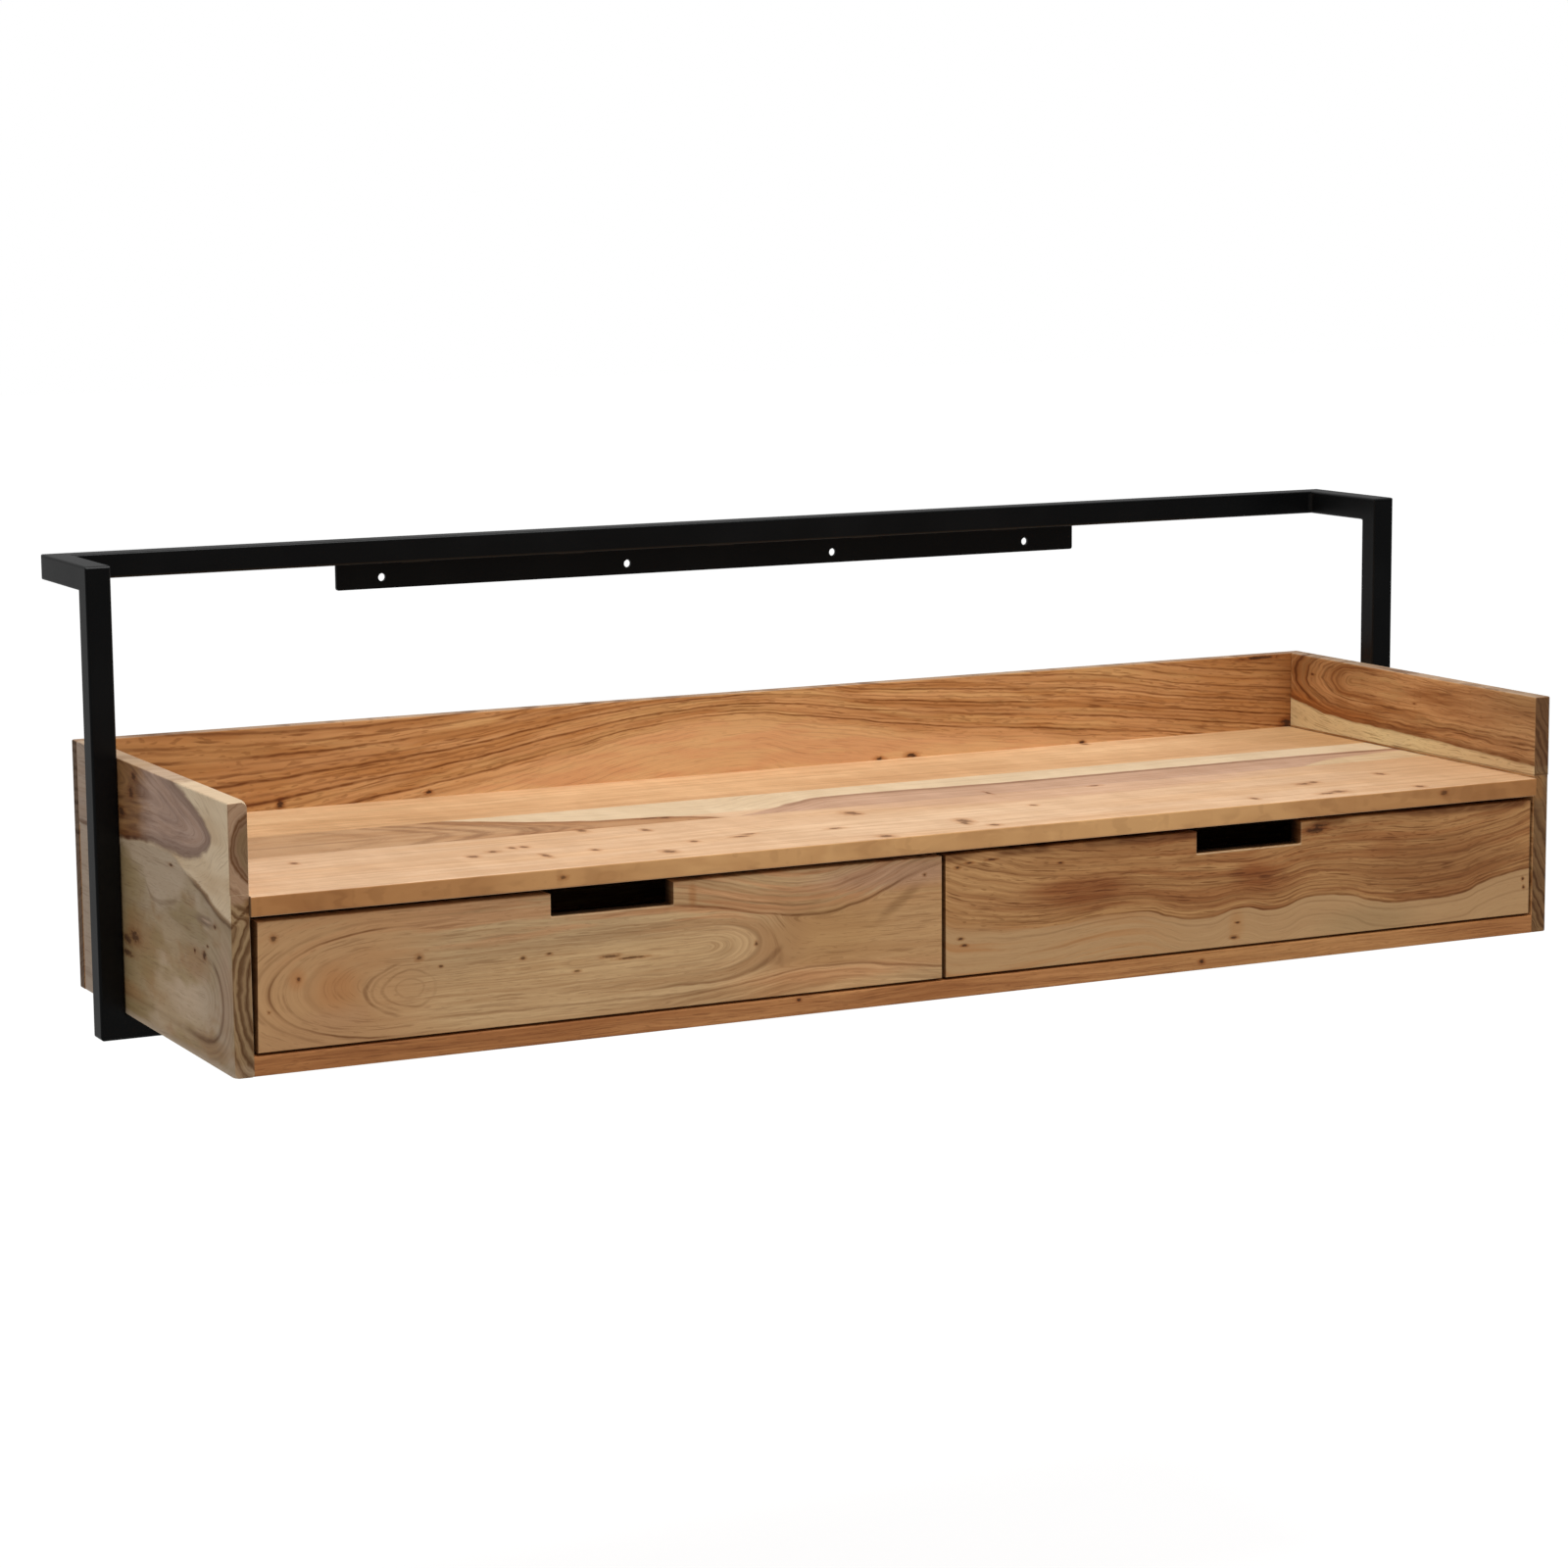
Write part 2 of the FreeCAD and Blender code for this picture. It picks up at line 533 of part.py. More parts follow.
def fillet_weld(corner, first, second, leg, length):
    """A hollow fillet in an inside corner, along the axis square to both directions."""
    hollow = corner + (first + second) * leg * (1 - math.sqrt(0.5))
    ends = (corner + first * leg, corner + second * leg)
    outline = Part.Wire([
        Part.LineSegment(corner, ends[0]).toShape(),
        Part.Arc(ends[0], hollow, ends[1]).toShape(),
        Part.LineSegment(ends[1], corner).toShape()])
    along = first.cross(second) * length
    weld = Part.Face(outline).extrude(along)
    weld.translate(along * -0.5)
    return weld


def frame_nodes(crossbar_holes):
    """Six mitred tubes in a closed loop, the wall strip and the welds."""
    corners = [
        vec(-LEG_CENTRE, LEG_Y, CROSSBAR_Z), vec(-LEG_CENTRE, LEG_Y, 0), vec(-LEG_CENTRE, RAIL_Y, 0),
        vec(LEG_CENTRE, RAIL_Y, 0), vec(LEG_CENTRE, LEG_Y, 0), vec(LEG_CENTRE, LEG_Y, CROSSBAR_Z)]
    names = ["leg_left", "arm_left", "wall_rail", "arm_right", "leg_right", "crossbar"]
    count = len(corners)
    runs = []
    for index in range(count):
        run = corners[(index + 1) % count] - corners[index]
        run.normalize()
        runs.append(run)
    made = {}
    for index, name in enumerate(names):
        start = corners[index]
        end = corners[(index + 1) % count]
        tube = square_tube(start, end)
        run = runs[index]
        back = -runs[index - 1]
        ahead = runs[(index + 1) % count]
        tube = mitre(mitre(tube, start, run, back), end, -run, ahead)
        made[name] = tube.cut([corner_grinding(start, run, back), corner_grinding(end, -run, ahead)])
    made["crossbar"] = made["crossbar"].cut(crossbar_holes)

    welds = []
    flat = TUBE - 2 * TUBE_CORNER
    for index in range(1, count - 1):   # the box fills the two lower corners
        first = -runs[index - 1]
        second = runs[index]
        inside = corners[index] + (first + second) * TUBE / 2
        welds.append(fillet_weld(inside, first, second, CORNER_WELD, flat))
    strip_ends = (STRIP_SHIFT - STRIP_LENGTH / 2, STRIP_SHIFT + STRIP_LENGTH / 2)
    for x in spread(*strip_ends, STRIP_WELD_COUNT):
        corner = vec(x, -STRIP_THICK, RAIL_UNDERSIDE)
        welds.append(fillet_weld(corner, -Y_AXIS, -Z_AXIS, STRIP_WELD, STRIP_WELD_LENGTH))
    made["frame_welds"] = Part.makeCompound(welds)

    strip = block(strip_ends, (-STRIP_THICK, 0), (STRIP_UNDERSIDE, RAIL_UNDERSIDE))
    strip = ease(
        strip, lambda at: near(at.x, *strip_ends) and near(at.z, STRIP_UNDERSIDE) and
        near(at.y, -STRIP_THICK / 2), STRIP_CORNER)
    screw_holes = [
        rod(STRIP_HOLE, vec(x, -STRIP_THICK, STRIP_UNDERSIDE + STRIP_HOLE_RISE), Y_AXIS, STRIP_THICK)
        for x in STRIP_HOLES]
    made["wall_strip"] = strip.cut(screw_holes)
    return made


# ---------------------------------------------------------------- box

def box_nodes(holes):
    """The boards of the box. Each hole goes into every board that it reaches."""
    inside = (-INSIDE_HALF, INSIDE_HALF)
    full_height = (BOX_UNDERSIDE, BOX_TOP)
    desktop_front = BOX_FRONT - DESKTOP_PROUD
    desktop = block(inside, (desktop_front, BACK_FACE), (DESKTOP_UNDERSIDE, DESKTOP_TOP))
    bottom = block(inside, (BOX_FRONT, BACK_FACE), (BOX_UNDERSIDE, FLOOR_TOP))
    back = block((-BOX_WIDTH / 2, BOX_WIDTH / 2), (BACK_FACE, 0), full_height)
    divider = block(
        (-DIVIDER_BOARD / 2, DIVIDER_BOARD / 2), (BEHIND_FRONTS + DIVIDER_SETBACK, BACK_FACE),
        (FLOOR_TOP, DESKTOP_UNDERSIDE))
    boards = {
        "desktop": ease(desktop, lambda at: near(at.y, desktop_front) and near(at.x, 0)),
        "bottom_panel": ease(bottom, lambda at: near(at.y, BOX_FRONT) and near(at.x, 0)),
        "back_panel": ease(back, lambda at: True),
        "centre_divider": divider,
    }
    for name, hand in HANDS.items():
        side = block(
            (hand * INSIDE_HALF, hand * BOX_WIDTH / 2), (BOX_FRONT, BACK_FACE), full_height)
        boards[f"side_panel_{name}"] = ease(side, lambda at: True)
    return {name: board.cut(holes) for name, board in boards.items()}


# ---------------------------------------------------------------- assembly

carcass_dowels, carcass_dowel_holes = carcass_joints()
back_screws, back_screw_holes = back_joints()
crossbar_screws, crossbar_screw_holes = crossbar_joints()
nodes = frame_nodes(crossbar_screw_holes)
nodes["carcass_dowels"] = Part.makeCompound(carcass_dowels)
nodes["back_panel_screws"] = Part.makeCompound(back_screws)
nodes["crossbar_screws"] = Part.makeCompound(crossbar_screws)

channel_screws = []
box_holes = carcass_dowel_holes + back_screw_holes + crossbar_screw_holes
for drawer_name, drawer_hand in HANDS.items():
    drawer_pieces, screws, screw_holes = drawer_nodes(drawer_name, drawer_hand)
    nodes.update(drawer_pieces)
    channel_screws += screws
    box_holes += screw_holes
nodes["channel_screws"] = Part.makeCompound(channel_screws)
nodes.update(box_nodes(box_holes))

os.makedirs("parts", exist_ok=True)
for node_name, shape in nodes.items():
    shape.exportStep(f"parts/{node_name}.step")
print(len(nodes), "nodes, drawer travel", round(TRAVEL, 2))
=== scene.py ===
"""A floating wall desk: solid boards with two drawers, hung in a black square-tube frame.

Each operator models and finishes one piece or one group of like pieces. Lengths are metres,
in the frame's own axes: X along the desk, Y into the wall, Z up. The wood's figure is drawn in
millimetres: along the grain, across it, and through the board. A mask runs from 0 to 1, and a
number that multiplies it says how strongly it shows.
"""
import json
import math
from functools import partial, reduce
from operator import or_

import bpy
from bpy.props import FloatProperty, FloatVectorProperty, PointerProperty
from bpy.types import Operator, Panel, PropertyGroup
from mathutils import Matrix, Vector


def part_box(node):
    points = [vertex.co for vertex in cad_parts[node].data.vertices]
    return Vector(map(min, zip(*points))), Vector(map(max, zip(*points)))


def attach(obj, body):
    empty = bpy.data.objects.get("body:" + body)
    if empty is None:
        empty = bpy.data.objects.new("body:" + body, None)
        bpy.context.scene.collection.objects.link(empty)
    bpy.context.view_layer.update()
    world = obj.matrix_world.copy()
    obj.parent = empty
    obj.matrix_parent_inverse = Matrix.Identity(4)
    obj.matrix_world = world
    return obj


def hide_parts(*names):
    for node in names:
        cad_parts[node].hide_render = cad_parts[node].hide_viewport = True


bl_info = {
    "name": "Floating Wall Desk",
    "version": (1, 0, 0),
    "blender": (4, 5, 0),
    "location": "3D View > Sidebar > Wall Desk",
    "description": "Models and finishes a wooden desk that hangs in a square-tube frame",
    "category": "Add Mesh",
}

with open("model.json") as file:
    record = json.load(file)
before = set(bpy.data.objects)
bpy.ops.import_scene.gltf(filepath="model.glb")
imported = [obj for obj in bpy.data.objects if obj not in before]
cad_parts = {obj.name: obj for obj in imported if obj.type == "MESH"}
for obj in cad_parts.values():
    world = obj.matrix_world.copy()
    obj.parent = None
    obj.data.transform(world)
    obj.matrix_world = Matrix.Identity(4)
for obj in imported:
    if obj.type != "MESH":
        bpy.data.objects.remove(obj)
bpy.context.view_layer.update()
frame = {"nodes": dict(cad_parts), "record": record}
NODES = frame["nodes"]
BODY_OF = {
    node: body for body, nodes in frame["record"]["behaviour"]["bodies"].items() for node in nodes}
SLOT_OF = {part["node"]: part["material_slot"] for part in frame["record"]["subparts"]}
MILLIMETRES = 1000.0
X, Y, Z = 0, 1, 2


# ---------------------------------------------------------------- settings

def length(name, description, default):
    return FloatProperty(
        name=name, description=description, default=default, min=0.0, unit="LENGTH", precision=5)


def tint(name, description, default):
    return FloatVectorProperty(
        name=name, description=description, default=default, subtype="COLOR", size=3, min=0.0, max=1.0)


class WallDeskSizes(PropertyGroup):
    """Sizes of what is modelled here. The boards' own sizes come from the frame."""

    edge: length("Edge", "Radius of the boards' eased edges", 0.0014)
    notch_edge: length("Notch edge", "Radius of the finger notch's eased edges", 0.0007)
    seam: length("Seam", "Easing of the boards along a glued seam", 0.00015)
    sanded_corner: length("Sanded corner", "Corner taken off the left panel", 0.0052)
    drawer_edge: length("Drawer edge", "Radius of the drawer fronts' eased edges", 0.0008)
    planed: length("Planed corner", "Planed off the left drawer front at its outer top corner", 0.0021)
    seam_step: length("Seam step", "Lower board of a side panel, behind the upper one", 0.0005)
    side_seam: length("Side seam", "Side panel's seam below its top edge", 0.0665)
    back_seam: length("Back seam", "Back panel's seam below its top edge", 0.087)
    groove_rise: length("Groove rise", "Drawer front's groove above its lower edge", 0.0129)
    groove_width: length("Groove width", "Width of that groove", 0.0052)
    groove_depth: length("Groove depth", "Depth of that groove", 0.0055)
    floor_drop: length("Floor drop", "Floor below the writing surface", 0.75)


class WallDeskTints(PropertyGroup):
    """Colours of the finishes."""

    sapwood: tint("Sapwood", "Cream outer wood", (0.72, 0.545, 0.345))
    peach: tint("Peach heartwood", "Rear board of the desktop", (0.66, 0.375, 0.18))
    pink: tint("Pink heartwood", "Front board of the desktop", (0.69, 0.44, 0.255))
    mauve: tint("Mauve heartwood", "Greyed heart in the desktop and left panel", (0.50, 0.325, 0.225))
    orange: tint("Orange heartwood", "Back panel and right panel", (0.62, 0.325, 0.132))
    amber: tint("Amber heartwood", "Bottom panel", (0.51, 0.225, 0.077))
    beige: tint("Beige heartwood", "Left drawer front", (0.60, 0.378, 0.184))
    tan: tint("Tan heartwood", "Lower board of the left panel", (0.44, 0.32, 0.19))
    red: tint("Red heartwood", "Right drawer front", (0.40, 0.165, 0.052))
    ember: tint("Ember patches", "Reddest patches of the right drawer front", (0.33, 0.112, 0.030))
    # Painted light on the tray's upward faces; also a greyer tone on the back panel's left end and the
    # left panel's rear.
    grey_wood_and_painted_top_light: tint("Grey wood and painted top light", "Upper edges of the tray", (0.43, 0.31, 0.22))
    # Also used for the painted shade in the finger notches.
    knot: tint("Knot", "Knots and checks", (0.060, 0.022, 0.008))
    inner: tint("Drawer wood", "Drawer sides and the divider", (0.56, 0.35, 0.18))
    veneer: tint("Plywood", "Drawer bottoms", (0.66, 0.49, 0.29))
    ply_core: tint("Plywood core", "Darker plies on its edge", (0.40, 0.25, 0.12))
    beech: tint("Beech", "Dowels", (0.68, 0.50, 0.31))
    black: tint("Powder coat", "Tube frame and wall strip", (0.0017, 0.0019, 0.0021))
    zinc: tint("Zinc plate", "Slides and screws", (0.60, 0.61, 0.62))
    bearing: tint("Bearing steel", "Balls", (0.70, 0.70, 0.71))
    floor: tint("Floor", "Floor of the studio", (0.88, 0.88, 0.88))


# ---------------------------------------------------------------- shader expressions

MIX_FACTOR, MIX_FIRST, MIX_SECOND, MIX_RESULT = 0, 6, 7, 2


def is_flat(value):
    """True for a number or a wire that carries one."""
    if isinstance(value, Wire):
        return value.socket.type == "VALUE"
    return isinstance(value, (int, float))


class Wire:
    """A socket that carries a number, a vector or a colour, on which Python's operators work.

    The sign | gives the greater of two values.
    """

    def __init__(self, graph, socket):
        self.graph = graph
        self.socket = socket

    def joined(self, operation, *terms):
        if all(is_flat(term) for term in terms):
            return self.graph.node("Math", {"operation": operation}, dict(enumerate(terms)))
        vectors = [(term,) * 3 if isinstance(term, (int, float)) else term for term in terms]
        output = "Value" if operation == "LENGTH" else "Vector"
        return self.graph.node(
            "VectorMath", {"operation": operation}, dict(enumerate(vectors)), output)

    def __add__(self, other): return self.joined("ADD", self, other)
    def __radd__(self, other): return self.joined("ADD", other, self)
    def __sub__(self, other): return self.joined("SUBTRACT", self, other)
    def __rsub__(self, other): return self.joined("SUBTRACT", other, self)
    def __mul__(self, other): return self.joined("MULTIPLY", self, other)
    def __rmul__(self, other): return self.joined("MULTIPLY", other, self)
    def __truediv__(self, other): return self.joined("DIVIDE", self, other)
    def __rtruediv__(self, other): return self.joined("DIVIDE", other, self)
    def __pow__(self, other): return self.joined("POWER", self, other)
    def __or__(self, other): return self.joined("MAXIMUM", self, other)
    def __abs__(self): return self.joined("ABSOLUTE", self)

    def floor(self): return self.joined("FLOOR", self)
    def size(self): return self.joined("LENGTH", self)
    def blended_least(self, other, reach): return self.joined("SMOOTH_MIN", self, other, reach)
    def towards(self, other, share): return self + (other - self) * share

    def eased(self, low, high):
        """0 at low and 1 at high, with a smooth step between them. Low may be the greater."""
        return self.graph.node(
            "MapRange", {"interpolation_type": "SMOOTHSTEP"}, {0: self, 1: low, 2: high}, 0)

    def coat(self, colour, mask):
        """Lays another colour over this one, where the mask is 1."""
        self.socket = self.graph.mix(self, colour, mask).socket

    def tone(self, shares, mask):
        """Multiplies each channel of this colour, where the mask is 1."""
        self.coat(self * shares, mask)


class Graph:
    """The nodes of one material or world."""

    def __init__(self, owner):
        owner.use_nodes = True
        self.tree = owner.node_tree
        self.tree.nodes.clear()

    def node(self, kind, settings=None, sockets=None, output=0):
        """A new node, with its settings made first. Returns one of its outputs as a wire."""
        made = self.tree.nodes.new("ShaderNode" + kind)
        for name, value in (settings or {}).items():
            if name == "points":
                self.shape_curve(made.mapping, value)
            else:
                setattr(made, name, value)
        for name, value in (sockets or {}).items():
            if isinstance(value, Wire):
                self.tree.links.new(value.socket, made.inputs[name])
            else:
                made.inputs[name].default_value = value
        return Wire(self, made.outputs[output]) if made.outputs else None

    @staticmethod
    def shape_curve(mapping, points):
        curve = mapping.curves[0]
        while len(curve.points) < len(points):
            curve.points.new(0.5, 0.5)
        for handle, (x, y) in zip(curve.points, points):
            handle.location = (x, y)
        mapping.update()

    def mix(self, first, second, factor):
        """From the first colour at a factor of 0 to the second at 1."""
        colours = [value if isinstance(value, Wire) else (*value, 1.0) for value in (first, second)]
        return self.node(
            "Mix", {"data_type": "RGBA"},
            {MIX_FACTOR: factor, MIX_FIRST: colours[0], MIX_SECOND: colours[1]}, MIX_RESULT)

    def point(self, x, y, z):
        return self.node("CombineXYZ", None, {0: x, 1: y, 2: z})

    def part(self, vector, axis):
        return self.node("SeparateXYZ", None, {0: vector}, axis)

    def coordinates(self, kind):
        return self.node("TexCoord", None, None, kind)

    def ray(self, kind):
        """1 for one kind of ray."""
        return self.node("LightPath", None, None, f"Is {kind} Ray")

    def noise(self, place, detail=2.0, roughness=0.5):
        return self.node(
            "TexNoise", None, {"Vector": place, "Scale": 1.0, "Detail": detail, "Roughness": roughness})

    def surface(self, shader_sockets):
        """A Principled shader on the output."""
        shader = self.node("BsdfPrincipled", None, shader_sockets)
        self.node("OutputMaterial", None, {"Surface": shader})

    def bumped(self, height, depth):
        """A normal from a height of 0 to 1, which stands for a depth in metres."""
        return self.node("Bump", None, {"Height": height, "Strength": 1.0, "Distance": depth}, "Normal")


# ---------------------------------------------------------------- wood

def scaled(colour, red, green, blue):
    """A colour with each channel multiplied."""
    return tuple(value * share for value, share in zip(colour, (red, green, blue)))


class Wood:
    """The figure of one piece, in millimetres along, across and through the board."""

    def __init__(self, name, axes, seed, drift=7.0):
        self.material = bpy.data.materials.new(name)
        self.graph = Graph(self.material)
        self.seed = seed
        place = self.graph.coordinates("Object") * MILLIMETRES
        self.along, self.straight, self.through = (self.graph.part(place, axis) for axis in axes)
        self.normal = self.graph.coordinates("Normal")
        self.end_grain = self.looking(abs(self.graph.part(self.normal, axes[0])))
        self.across = self.straight
        swing = self.cloud(210, 55, 55) - 0.5
        wobble = self.cloud(28, 9, 9) - 0.5
        self.across = self.straight + swing * drift + wobble * 2.6

    @staticmethod
    def looking(share):
        """1 where enough of a face's normal lies along an axis."""
        return share.eased(0.55, 0.85)

    def facing(self, axis, sign):
        """1 on the faces that look along an axis."""
        return self.looking(self.graph.part(self.normal, axis) * sign)

    def cloud(self, along, across, through, detail=2.0, roughness=0.5, shift=0.0):
        """Noise whose blotches have about these lengths."""
        offset = self.seed + shift
        place = self.graph.point(
            self.along / along + offset, self.across / across + offset * 1.7, self.through / through)
        return self.graph.noise(place, detail, roughness)

    def bands(self, rings, run, pitch, shift, detail=2.0):
        """Noise in stripes of about this pitch, which follow the rings."""
        offset = self.seed + shift
        place = self.graph.point(self.along / run + offset, rings / pitch, offset * 2.3)
        return self.graph.noise(place, detail)

    def heart(self, start, end, across, before, after):
        """Distance to a line along the grain. Its rings are longer by these shares past its ends."""
        past_start = ((start - self.along) | 0.0) * before
        past_end = ((self.along - end) | 0.0) * after
        return self.graph.point(past_start + past_end, self.across - across, 0.0).size()

    def guide(self, points):
        """A smooth line along the board through the points, each along and across."""
        starts, values = zip(*points)
        low, high = min(values), max(values)
        span = starts[-1] - starts[0]
        shape = [((a - starts[0]) / span, (b - low) / (high - low)) for a, b in points]
        share = (self.along - starts[0]) / span
        curve = self.graph.node("FloatCurve", {"points": shape}, {"Value": share})
        return curve * (high - low) + low

    def growth(self, rings, pitch, width, shift):
        """Thin lines of uneven strength and spacing, which fade in and out along the grain."""
        spacing = self.graph.node(
            "TexNoise", {"noise_dimensions": "1D"}, {"W": rings / (pitch * 2.6) + shift, "Scale": 1.0})
        turns = rings / pitch + spacing * 2.4 + (self.cloud(160, 30, 30, 1.0, 0.5, shift) - 0.5) * 0.8
        turn = turns.floor()
        share = turns - turn
        strength = self.graph.node(
            "TexWhiteNoise", {"noise_dimensions": "1D"}, {"W": turn + shift}, "Value")
        fade = self.cloud(120, 16, 16, 1.0, 0.5, shift + 3).eased(0.30, 0.55)
        edge = (1.0 - share) * pitch
        line = edge.eased(width, width * 0.3) * 0.75 + share ** 3.0 * 0.25
        return line * (0.25 + strength * 0.75) * fade

    def accent(self, rings, radius, width):
        """One line at a given ring."""
        return abs(rings - radius).eased(width, width * 0.15)

    def drawn(self, rings, lines, run):
        """Lines at given rings, which fade in and out along the grain.

        Each line is a radius, a width and a strength.
        """
        line = reduce(or_, (self.accent(rings, radius, width) * share for radius, width, share in lines))
        return line * (0.40 + self.bands(rings, run, 5.0, run, 1.0).eased(0.36, 0.52) * 0.60)

    def oval(self, along, across, half_length, half_width):
        """0 in the middle of an oval and 1 on its outline."""
        return self.graph.point(
            (self.along - along) / half_length, (self.across - across) / half_width, 0.0).size()

    def spot(self, along, across, half_length, half_width):
        """1 in the middle of an oval and 0 at its edge."""
        return self.oval(along, across, half_length, half_width).eased(1.0, 0.25)

    def knots(self, places, height=None):
        """The cores and the halos of small knots.

        Each knot is its place along and across the board, half its length and half its width.
        """
        height = self.straight if height is None else height
        ragged = (self.cloud(4.5, 2.2, 2.2) - 0.5) * 1.9
        reaches = []
        for along, across, half_length, half_width in places:
            place = self.graph.point(
                (self.along - along) / half_length, (height - across) / half_width, 0.0)
            reaches.append(place.size() + ragged)
        cores = reduce(or_, (reach.eased(1.35, 0.45) for reach in reaches))
        halos = reduce(or_, (reach.eased(2.6, 0.9) for reach in reaches))
        return cores, halos

    def knots_by_face(self, places, edge_places, on_edge):
        """The first knots, and others on the faces where the mask is 1."""
        pairs = zip(self.knots(places), self.knots(edge_places, self.through))
        return [wire.towards(edge_wire, on_edge) for wire, edge_wire in pairs]

    def arcs(self, centres):
        """Distance to the nearest of the centres, each across, through and its flatness."""
        nearest = reduce(lambda first, second: first.blended_least(second, 4.0), (
            self.graph.point((self.straight - across) * flatness, self.through - through, 0.0).size()
            for across, through, flatness in centres))
        place = self.graph.point(self.straight / 15.0, self.through / 8.0, self.along / 30.0)
        return nearest + (self.graph.noise(place) - 0.5) * 6.0

    def finish(self, colour, rings, tints, pitch, width, lines, contrast, dashes, extra=None,
               knots=None, end_tone=(0.42, 0.36, 0.30), gloss=0.50, calm=0.0, knot_share=0.92):
        """Adds tone bands, growth lines, fibres, pores and knots to the colour, and makes the surface.

        Where calm is 1, the wood has one even tone.
        """
        graph = self.graph
        streaks = self.bands(rings, 240, 9.0, 1.0)
        stripes = self.bands(rings, 110, 3.4, 2.0)
        fibres = self.bands(rings, 36, 1.6, 3.0, 1.0)
        tone = (streaks * 0.32 + stripes * 0.38 + fibres * 0.30).eased(0.37, 0.63)
        tone = tone.towards(0.60, calm)
        deep = colour * tuple(1 - contrast * share for share in (0.26, 0.37, 0.46))
        pale = colour * tuple(1 + contrast * share for share in (0.12, 0.15, 0.18))
        colour = graph.mix(deep, pale, tone)
        broken = self.bands(rings, 12, 1.4, 4.0, 0.0).eased(0.40, 0.60)
        coarse = self.growth(rings, pitch, width, self.seed + 5) * (0.5 + broken * 0.5)
        fine = self.growth(rings, pitch * 0.41, width * 0.7, self.seed + 11)
        line = (coarse * lines) | (fine * lines * 0.55)
        if extra is not None:
            line |= extra * (0.75 + broken * 0.25)
        patches = self.cloud(60, 14, 14, 1.0).eased(0.36, 0.56)
        pores = self.bands(rings, 26, 1.5, 5.0, 0.5).eased(0.58, 0.72) * patches
        pores |= self.bands(rings, 8, 1.1, 6.0, 0.0).eased(0.62, 0.76) * 0.6
        line |= pores * dashes
        colour.tone((0.36, 0.25, 0.16), line)
        colour.tone(end_tone, self.end_grain)
        height = 0.5 + fibres * 0.3 - pores * 0.4 - line * 0.3
        rough = gloss + fibres * 0.12 + line * 0.12 + self.end_grain * 0.10
        if knots is not None:
            cores, halos = knots
            colour.tone((0.66, 0.44, 0.26), halos * (knot_share * 0.8))
            colour.coat(tints.knot, cores * knot_share)
            height = height - cores * 0.8
            rough = rough + cores * 0.3
        graph.surface({
            "Base Color": colour, "Roughness": rough, "Specular IOR Level": 0.22,
            "Normal": graph.bumped(height, 0.00012)})
        return self.material


def paint_notch_shade_and_highlight(wood, colour, tints, middle, half=50.0, floor=-243.0, face=-377.0):
    """Paints shade on a finger notch's floor and walls, and a highlight on its front edge.

    The notch has this middle, half width and floor, in a drawer front with this face.
    """
    beside = abs(wood.along - middle)
    on_wall = beside.eased(half - 0.4, half - 0.1)
    inside = beside.eased(half + 0.9, half + 0.5) * wood.straight.eased(floor - 0.3, floor + 0.1)
    shaded = inside * wood.through.eased(face + 0.8, on_wall * 8.0 + (face + 6.0))
    # Painted shade: the notch's floor and walls turn nearly black further in.
    colour.coat(scaled(tints.knot, 0.5, 0.8, 1.2), shaded * 0.9)
    # Painted highlight: a pale line along the notch's front edge, where light catches it.
    on_edge = wood.straight.eased(floor - 1.0, floor) * beside.eased(half + 1.0, half - 0.5)
    sanded = on_edge * wood.through.eased(face + 1.6, face + 0.7)
    colour.coat(scaled(tints.sapwood, 0.9, 0.8, 0.7), sanded)


